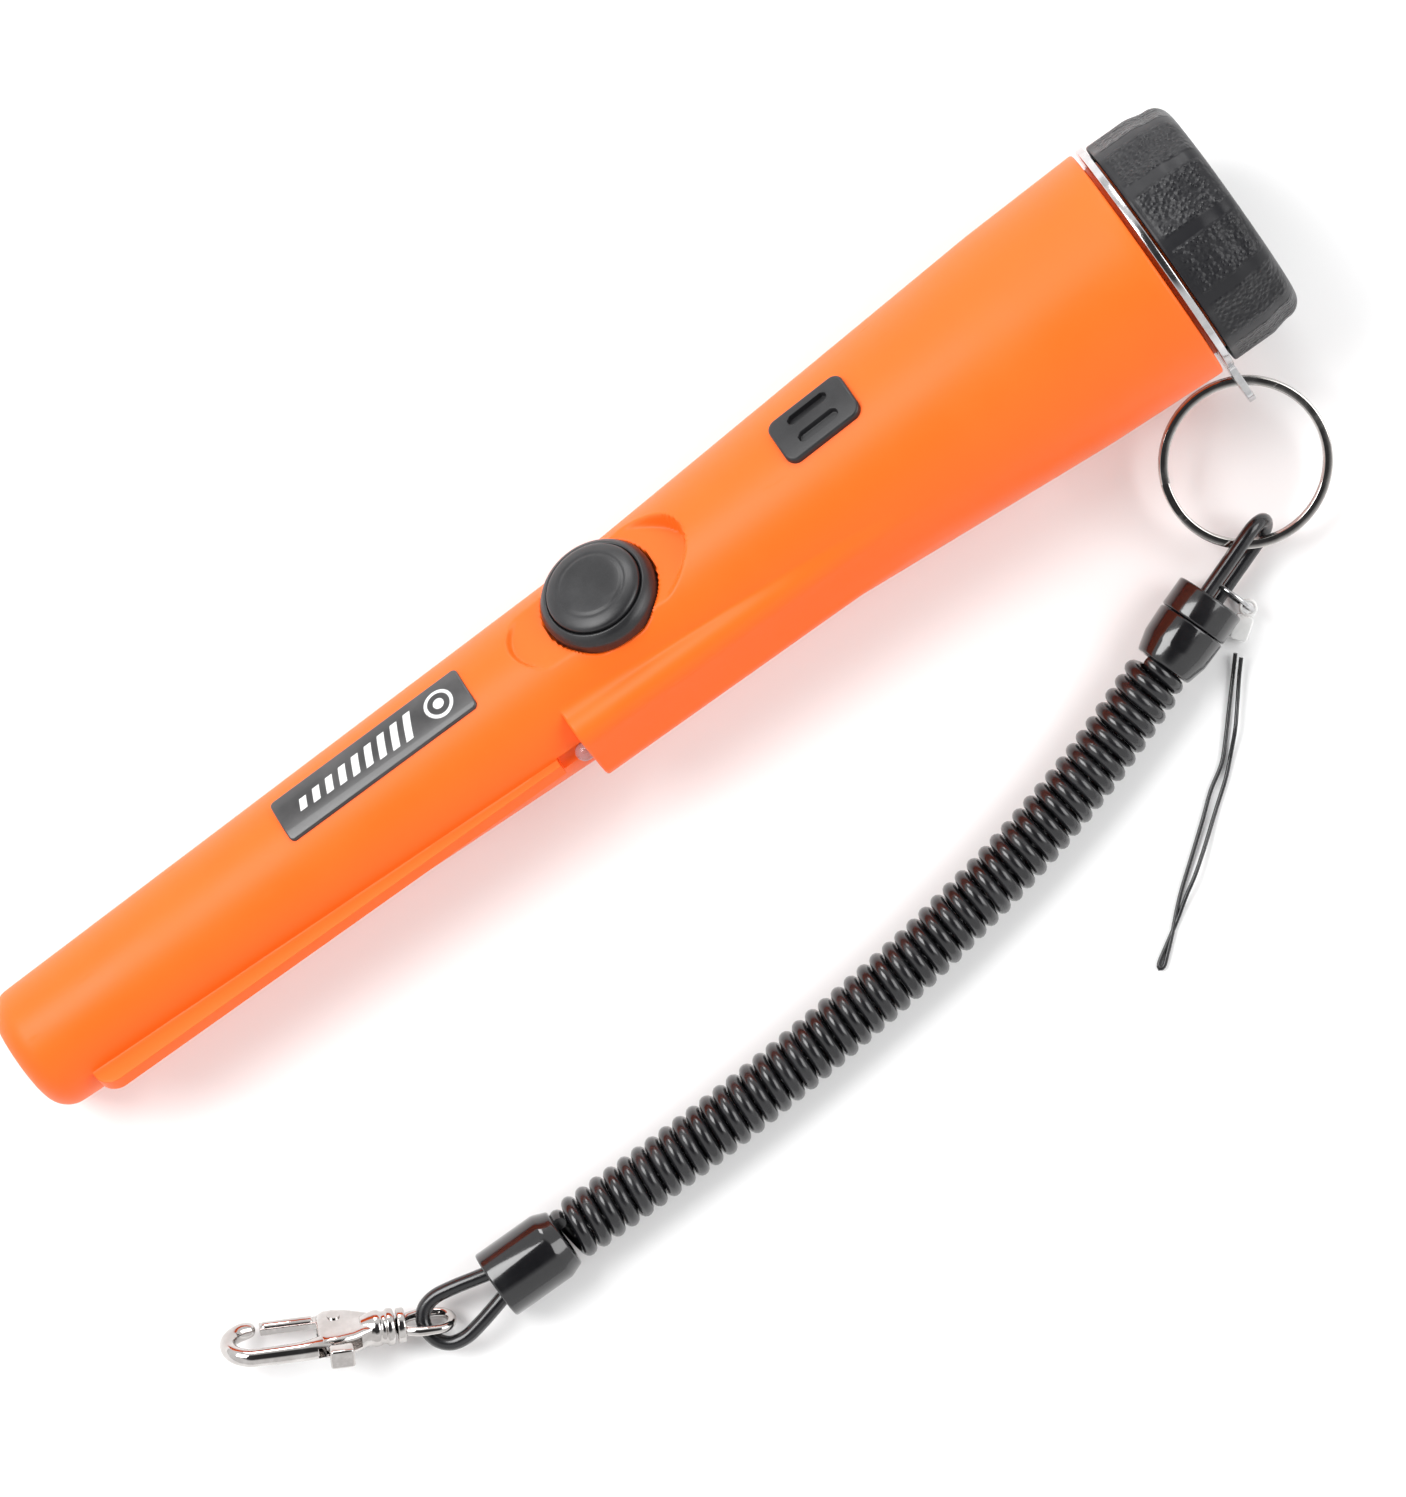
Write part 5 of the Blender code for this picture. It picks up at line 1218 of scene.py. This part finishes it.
# ---- the search winding, by Geometry Nodes ----
def winding_tree(material):
    """A node tree that winds a wire round X: turns, radius, length and wire are its named inputs."""
    tree = bpy.data.node_groups.new("Wire_Winding", "GeometryNodeTree")
    tree.interface.new_socket("Geometry", in_out="OUTPUT", socket_type="NodeSocketGeometry")
    for name, default in (("Turns", 60.0), ("Radius", 0.007), ("Length", 0.03), ("Wire", 0.00025)):
        tree.interface.new_socket(name, in_out="INPUT", socket_type="NodeSocketFloat").default_value = default
    start = tree.nodes.new("NodeGroupInput")
    end = tree.nodes.new("NodeGroupOutput")
    helix = tree.nodes.new("GeometryNodeCurveSpiral")
    helix.inputs["Resolution"].default_value = 20
    tree.links.new(start.outputs["Turns"], helix.inputs["Rotations"])
    tree.links.new(start.outputs["Radius"], helix.inputs["Start Radius"])
    tree.links.new(start.outputs["Radius"], helix.inputs["End Radius"])
    tree.links.new(start.outputs["Length"], helix.inputs["Height"])
    section = tree.nodes.new("GeometryNodeCurvePrimitiveCircle")
    section.inputs["Resolution"].default_value = 6
    tree.links.new(start.outputs["Wire"], section.inputs["Radius"])
    wound = tree.nodes.new("GeometryNodeCurveToMesh")
    wound.inputs["Fill Caps"].default_value = True
    tree.links.new(helix.outputs[0], wound.inputs["Curve"])
    tree.links.new(section.outputs[0], wound.inputs["Profile Curve"])
    realize = tree.nodes.new("GeometryNodeRealizeInstances")
    paint = tree.nodes.new("GeometryNodeSetMaterial")
    paint.inputs["Material"].default_value = material
    tree.links.new(wound.outputs[0], realize.inputs[0])
    tree.links.new(realize.outputs[0], paint.inputs["Geometry"])
    tree.links.new(paint.outputs[0], end.inputs[0])
    return tree


def grown(name, tree, values, place, material):
    """Runs a node tree with its inputs set, and gives the result as a plain mesh in its place."""
    holder = bpy.data.objects.new(name + "_nodes", bpy.data.meshes.new(name + "_nodes"))
    bpy.context.scene.collection.objects.link(holder)
    modifier = holder.modifiers.new("Nodes", "NODES")
    modifier.node_group = tree
    for item in tree.interface.items_tree:
        if item.item_type == "SOCKET" and item.in_out == "INPUT" and item.name in values:
            modifier[item.identifier] = values[item.name]
    bm = as_bmesh(evaluated(holder))
    bpy.data.objects.remove(holder)
    return made(name, bm, place, material, 60.0)


# ---- settings ----
class ProbeLooks(bpy.types.PropertyGroup):
    """Colours and sizes of the probe's looks."""

    shell_color: bpy.props.FloatVectorProperty(
        name="Shell colour", description="Colour of the moulded shell", subtype="COLOR", size=3,
        default=(1.0, 0.14, 0.01), min=0.0, max=1.0,
    )
    floor_color: bpy.props.FloatVectorProperty(
        name="Floor colour", description="Colour of the plain floor", subtype="COLOR", size=3,
        default=(0.93, 0.93, 0.93), min=0.0, max=1.0,
    )
    camera_distance: bpy.props.FloatProperty(
        name="Camera distance", description="Height of the camera over the floor", subtype="DISTANCE",
        unit="LENGTH", default=1.4, min=0.5, max=5.0,
    )
    camera_turn: bpy.props.FloatProperty(
        name="Camera turn", description="Turn of the camera about the vertical", subtype="ANGLE",
        unit="ROTATION", default=math.radians(-35.3),
    )
    frame_height: bpy.props.FloatProperty(
        name="Frame height", description="Length on the floor that the picture's height covers", subtype="DISTANCE",
        unit="LENGTH", default=0.2445, min=0.05, max=2.0,
    )
    winding_turns: bpy.props.IntProperty(
        name="Winding turns", description="Turns of wire in the search coil", default=66, min=10, max=200,
    )


def studio_world():
    """White walls all round and a dark ceiling, so that polished metal shows dark and bright streaks."""
    world = bpy.data.worlds.new("studio")
    world.use_nodes = True
    tree = world.node_tree
    place = tree.nodes.new("ShaderNodeTexCoord").outputs["Generated"]
    apart = tree.nodes.new("ShaderNodeSeparateXYZ")
    tree.links.new(place, apart.inputs["Vector"])
    ceiling = ranged(tree, apart.outputs["Z"], 0.76, 0.9)
    tinted(tree, ceiling, (1.0, 1.0, 1.0), (0.05, 0.05, 0.052), tree.nodes["Background"].inputs["Color"])
    tree.nodes["Background"].inputs["Strength"].default_value = 0.95
    return world


# ---- operators ----
class PROBE_OT_stage(bpy.types.Operator):
    """Makes the camera, the plain floor and the soft studio lights"""

    bl_idname = "probe.stage"
    bl_label = "Stage"

    def execute(self, context):
        looks = context.scene.probe_looks
        aim = laid((119.7, 22.4, 0.0))
        camera = bpy.data.objects.new("camera", bpy.data.cameras.new("camera"))
        camera.location = (aim.x, aim.y, looks.camera_distance)
        camera.rotation_euler = (0.0, 0.0, looks.camera_turn)
        camera.data.lens = camera.data.sensor_width * looks.camera_distance / looks.frame_height
        camera.data.clip_start = 0.01
        camera.data.clip_end = 20.0
        context.scene.collection.objects.link(camera)
        context.scene.camera = camera

        material, tree, shader = base_material("floor_white", 0.6)
        marks = placed_group(tree, handling_marks, Size=4.0)
        low = [0.985 * value for value in looks.floor_color]
        tinted(tree, marks.outputs["Smear"], low, looks.floor_color, shader.inputs["Base Color"])
        bm = bmesh.new()
        bmesh.ops.create_grid(bm, x_segments=1, y_segments=1, size=3.0)
        floor = made("floor", bm, Matrix.Translation((0, 0, -0.00005)), material)

        lights = (
            ("key_light", (-0.55, 0.75, 1.15), 0.8, 17.0), ("fill_light", (0.85, -0.35, 0.95), 0.8, 8.0),
            ("strip_light", (0.35, 0.9, 0.45), 0.35, 3.0),
        )
        for name, place, size, power in lights:
            light = bpy.data.lights.new(name, "AREA")
            light.size = size
            light.energy = power
            lamp = bpy.data.objects.new(name, light)
            lamp.location = place
            lamp.rotation_euler = (Vector((0, 0, 0)) - Vector(place)).to_track_quat("-Z", "Y").to_euler()
            context.scene.collection.objects.link(lamp)
        context.scene.world = studio_world()
        context.scene.view_settings.view_transform = "Standard"
        return {"FINISHED"}


class PROBE_OT_cords(bpy.types.Operator):
    """Makes the coiled cord, the two cord loops and the thin strap"""

    bl_idname = "probe.cords"
    bl_label = "Cords"

    def execute(self, context):
        black = FINISH.get("cord_black")
        coil = coil_points()
        upper = upper_loop_points()
        lower = smooth_route(LOWER_LOOP_ROUTE, 72)
        strap = smooth_route(STRAP_ROUTE, 260)
        made_here = (
            ("coil_cord", coil, CORD, 5, "lanyard", "coiled_cord"),
            ("upper_loop_cord", upper, CORD, 5, "lanyard", "upper_loop"),
            ("lower_loop_cord", lower, CORD, 5, "lanyard", "lower_loop"),
            ("strap_cord", strap, STRAP_CORD, 3, "strap", "strap_loop"),
        )
        for name, points, diameter, resolution, body, node in made_here:
            piece = cord_curve(name, points, 0.5 * diameter, black, resolution)
            settle(piece, body, "cord_black", node)
        return {"FINISHED"}


class PROBE_OT_ferrules(bpy.types.Operator):
    """Turns the moulded ferrules at the coil's two ends"""

    bl_idname = "probe.ferrules"
    bl_label = "Ferrules"

    def execute(self, context):
        gloss = FINISH.get("gloss_black")
        full, seam, length = FERRULE_RADIUS, FERRULE_SEAM, FERRULE_LENGTH
        lip = [(-1.2 * MM, 0.0), (-1.2 * MM, 4.8 * MM), (0.0, 5.0 * MM), (0.0, full), (-seam, full), (-seam, 0.0)]
        cap = made("upper_ferrule_lip", lathed(softened(lip, 0.45 * MM), 96), UPPER, gloss)
        settle(cap, "lanyard", "gloss_black", "upper_ferrule_cap")
        cup = [(-seam - 0.12 * MM, 0.0), (-seam - 0.12 * MM, full), (-length + 3.5 * MM, full - 0.15 * MM)]
        cup += [(-length + 0.9 * MM, 5.2 * MM), (-length, 4.9 * MM)]
        cup += [(-length, 3.6 * MM), (-length + 0.8 * MM, 3.2 * MM)]
        cup += [(-length + 0.8 * MM, 0.0)]
        body = made("upper_ferrule_cup", lathed(softened(cup, 0.4 * MM), 96), UPPER, gloss)
        settle(body, "lanyard", "gloss_black", "upper_ferrule_body")
        sleeve = [(-1.2 * MM, 0.0), (-1.2 * MM, 4.8 * MM), (0.0, 5.0 * MM), (0.0, full), (-length + 2.5 * MM, full)]
        sleeve += [(-length + 0.8 * MM, 5.3 * MM), (-length, 5.0 * MM)]
        sleeve += [(-length, 3.6 * MM), (-length + 0.8 * MM, 3.2 * MM)]
        sleeve += [(-length + 0.8 * MM, 0.0)]
        lower = made("lower_ferrule_sleeve", lathed(softened(sleeve, 0.45 * MM), 96), LOWER, gloss)
        settle(lower, "lanyard", "gloss_black", "lower_ferrule")
        return {"FINISHED"}


class PROBE_OT_rings(bpy.types.Operator):
    """Makes the split ring, the jump ring and the strap's crimp"""

    bl_idname = "probe.rings"
    bl_label = "Rings"

    def execute(self, context):
        ring = split_ring_piece(FINISH.get("nickel"))
        settle(ring, "ring", "nickel", "split_ring")
        side = Vector((-UPPER_HEAD.y, UPPER_HEAD.x, 0.0)) * -1
        jump_at = laid(UPPER_FACE) + 2.3 * MM * UPPER_HEAD + 2.7 * MM * side + Vector((0, 0, -1.4 * MM))
        jump_place = basis(UPPER_HEAD, (0, 0, 1), jump_at)
        jump = made("jump_ring_wire", hoop(JUMP_RADIUS, JUMP_WIRE), jump_place, FINISH.get("polished_steel"))
        settle(jump, "strap_ring", "polished_steel", "jump_ring")
        link = jump_at + JUMP_RADIUS * (math.cos(LINK_DROP) * side - math.sin(LINK_DROP) * Vector((0, 0, 1)))
        place = basis(STRAP_HEAD, (0, 0, 1), link)
        white = FINISH.get("white_crimp")
        outline = rounded(2.1 * MM, 1.5 * MM, 0.5 * MM, 6, (3.4 * MM, 0))
        sleeve = prism("crimp_sleeve", outline, -0.9 * MM, 0.9 * MM, place, white, 0.3 * MM)
        eye_ring = circle(0.3 * MM, 16, (0.0, 1.25 * MM))
        eye = made("crimp_ring", lathed(eye_ring, 40, True, "Z"), place, white)
        crimp = joined("strap_crimp_sleeve", [sleeve, eye])
        settle(crimp, "strap", "white_crimp", "strap_crimp")
        return {"FINISHED"}


class PROBE_OT_clasp(bpy.types.Operator):
    """Makes the swivel clasp: its eye, its claw and its sprung gate"""

    bl_idname = "probe.clasp"
    bl_label = "Clasp"

    def execute(self, context):
        chrome = FINISH.get("chrome")
        settle(clasp_eye_piece(chrome), "clasp_eye", "chrome", "clasp_eye")
        settle(clasp_body_piece(chrome), "clasp", "chrome", "clasp_body")
        settle(clasp_gate_piece(chrome), "gate", "chrome", "clasp_gate")
        return {"FINISHED"}


class PROBE_OT_shell(bpy.types.Operator):
    """Makes the shell with its scraping blade, lamp housing, button recess and screw neck"""

    bl_idname = "probe.shell"
    bl_label = "Shell"

    def execute(self, context):
        angles = dense_angles()
        shell = ring_skin("shell", shell_rings(angles), angles, PROBE, FINISH.get("housing_orange"), 50.0)
        settle(shell, "probe", "housing_orange", "housing")
        return {"FINISHED"}


class PROBE_OT_face_parts(bpy.types.Operator):
    """Makes the label, the speaker grille and the lamp"""

    bl_idname = "probe.face_parts"
    bl_label = "Label, grille and lamp"

    def execute(self, context):
        def label_top(s, y, inside):
            return 0.55 * MM - end_round(inside, 0.25 * MM)

        def grille_top(s, y, inside):
            rim = 1.1 * MM - end_round(inside, 0.5 * MM)
            return rim - (rim - 0.12 * MM) * slot_depth(s, y)

        label = skin_plate(
            "label_film", LABEL_START, LABEL_END, LABEL_WIDTH, 0.9 * MM, label_top, 300, 84,
            FINISH.get("label_dark"), label_marks,
        )
        settle(label, "probe", "label_dark", "label_plate")
        grille = skin_plate(
            "grille_plate", GRILLE_START, GRILLE_END, GRILLE_WIDTH, 1.9 * MM, grille_top, 170, 120,
            FINISH.get("grille_black"),
        )
        settle(grille, "probe", "grille_black", "speaker_grille")

        front = SHROUD_START - 2.2 * MM
        turns = np.linspace(0, math.pi / 2, 16)
        lens = [(front + LAMP_RADIUS * (1 - math.cos(a)), LAMP_RADIUS * math.sin(a)) for a in turns]
        lens += [(SHROUD_START + 5 * MM, LAMP_RADIUS), (SHROUD_START + 5 * MM, 0.0)]
        place = BLADE_LINE @ Matrix.Translation((0, 0, LAMP_AXIS))
        lamp = made("lamp_lens", lathed(lens, 48), place, FINISH.get("lamp_clear"))
        settle(lamp, "probe", "lamp_clear", "led_lamp")
        return {"FINISHED"}


class PROBE_OT_button(bpy.types.Operator):
    """Turns the rubber button and the lip round it"""

    bl_idname = "probe.button"
    bl_label = "Button"

    def execute(self, context):
        rubber = FINISH.get("button_rubber")
        place = BUTTON_LINE @ Matrix.Translation((BUTTON_AT, 0, 0))
        base = SEAT_FLOOR + GAP
        lip = [
            (base, DOME_RADIUS + 0.12 * MM), (base, SEAT_RADIUS + 0.1 * MM), (SEAT_FLOOR + 2.6 * MM, SEAT_RADIUS + 0.1 * MM),
            (SEAT_FLOOR + 3.6 * MM, SEAT_RADIUS - 0.5 * MM), (SEAT_FLOOR + 4.2 * MM, DOME_RADIUS + 0.5 * MM),
            (SEAT_FLOOR + 4.0 * MM, DOME_RADIUS + 0.12 * MM), (base, DOME_RADIUS + 0.12 * MM),
        ]
        seal = made("button_lip", lathed(softened(lip, 0.4 * MM, 5)[:-1], 120, True, "Z"), place, rubber)
        settle(seal, "probe", "button_rubber", "button_seal")
        edge = SEAT_FLOOR + 4.4 * MM
        turns = np.linspace(0, math.pi / 2, 34)
        crown = [(edge + (DOME_TOP - edge) * math.sin(a), DOME_RADIUS * math.cos(a)) for a in turns]
        dished = []
        for along, radius in crown:
            dip = 0.35 * MM * smooth_step(radius, 5.4 * MM, 1.0 * MM)
            groove = 0.12 * MM * smooth_step(abs(radius - 5.6 * MM), 0.35 * MM, 0.0)
            dished.append((along - dip - groove, max(radius, 0.0)))
        dished[-1] = (dished[-1][0], 0.0)
        stem = [(8.9 * MM, 0.0), (8.9 * MM, 2.6 * MM), (12.4 * MM, 2.6 * MM), (12.4 * MM, DOME_RADIUS)]
        dome = made("button_dome_rubber", lathed(stem + dished, 120, axis="Z"), place, rubber)
        settle(dome, "button", "button_rubber", "button_dome")
        return {"FINISHED"}


class PROBE_OT_cap(bpy.types.Operator):
    """Makes the battery cap with its pebbled panels, the lanyard washer and the seal under the cap"""

    bl_idname = "probe.cap"
    bl_label = "Battery cap"

    def execute(self, context):
        settle(cap_piece(FINISH.get("black_plastic")), "cap", "black_plastic", "battery_cap")
        outlines = [tab_outline(), arc((0, 0), WASHER_BORE, 0, 357, 119), arc((0, TAB_HOLE_AT), TAB_HOLE, 0, 350, 35)]
        washer = plate(
            "washer_plate", outlines, WASHER_START, WASHER_START + WASHER_THICK, 0.18 * MM, TAB_LINE,
            FINISH.get("polished_steel"), "YZ",
        )
        settle(washer, "probe", "polished_steel", "lanyard_washer")
        ring = circle(SEAL_WIRE, 16, (SEAL_AT, SEAL_RADIUS))
        seal = made("cap_seal", lathed(ring, 96, True), PROBE, FINISH.get("seal_rubber"))
        settle(seal, "probe", "seal_rubber", "neck_o_ring")
        return {"FINISHED"}


class PROBE_OT_inside(bpy.types.Operator):
    """Winds the search coil and gives the pieces inside the shell their finishes"""

    bl_idname = "probe.inside"
    bl_label = "Inside"

    def execute(self, context):
        looks = context.scene.probe_looks
        copper = FINISH.get("copper")
        start, end = WINDING_START, WINDING_END
        wire = WINDING_WIRE
        length = end - start - 2 * wire
        values = {"Turns": float(looks.winding_turns), "Radius": WINDING_RADIUS, "Length": length, "Wire": wire}
        place = PROBE @ Matrix.Translation((start + wire, 0, 0)) @ Matrix.Rotation(math.pi / 2, 4, "Y")
        winding = grown("search_wire", winding_tree(copper), values, place, copper)
        settle(winding, "probe", "copper", "search_winding")
        slots = {part["node"]: part["material_slot"] for part in frame["record"]["subparts"]}
        for node, obj in frame["nodes"].items():
            if obj.hide_render:
                continue
            finish = FINISH.get(slots[node])
            obj.data.materials.clear()
            obj.data.materials.append(finish)
        return {"FINISHED"}


class PROBE_OT_declare_cords(bpy.types.Operator):
    """Works out the routes of the coil, the lower loop and the strap, and does nothing more with them"""

    bl_idname = "probe.declare_cords"
    bl_label = "Declare cords"

    def execute(self, context):
        coil = coil_points()
        lower = smooth_route(LOWER_LOOP_ROUTE, 72)
        strap = smooth_route(STRAP_ROUTE, 260)
        return {"FINISHED"}


class PROBE_PT_looks(bpy.types.Panel):
    """Sidebar panel with the settings and one button for each group of pieces"""

    bl_idname = "PROBE_PT_looks"
    bl_label = "Pinpointer Probe"
    bl_space_type = "VIEW_3D"
    bl_region_type = "UI"
    bl_category = "Probe"

    def draw(self, context):
        looks = context.scene.probe_looks
        for name in ProbeLooks.__annotations__:
            self.layout.prop(looks, name)
        for operator in OPERATORS:
            self.layout.operator(operator.bl_idname)


OPERATORS = (
    PROBE_OT_stage, PROBE_OT_cords, PROBE_OT_ferrules, PROBE_OT_rings, PROBE_OT_clasp, PROBE_OT_shell,
    PROBE_OT_face_parts, PROBE_OT_button, PROBE_OT_cap, PROBE_OT_inside, PROBE_OT_declare_cords,
)


def register():
    for item in (ProbeLooks, *OPERATORS, PROBE_PT_looks):
        bpy.utils.register_class(item)
    bpy.types.Scene.probe_looks = bpy.props.PointerProperty(type=ProbeLooks)


def unregister():
    del bpy.types.Scene.probe_looks
    for item in (PROBE_PT_looks, *reversed(OPERATORS), ProbeLooks):
        bpy.utils.unregister_class(item)


def main():
    register()
    for operator in OPERATORS:
        group, name = operator.bl_idname.split(".")
        getattr(getattr(bpy.ops, group), name)()


if __name__ == "__main__":
    main()
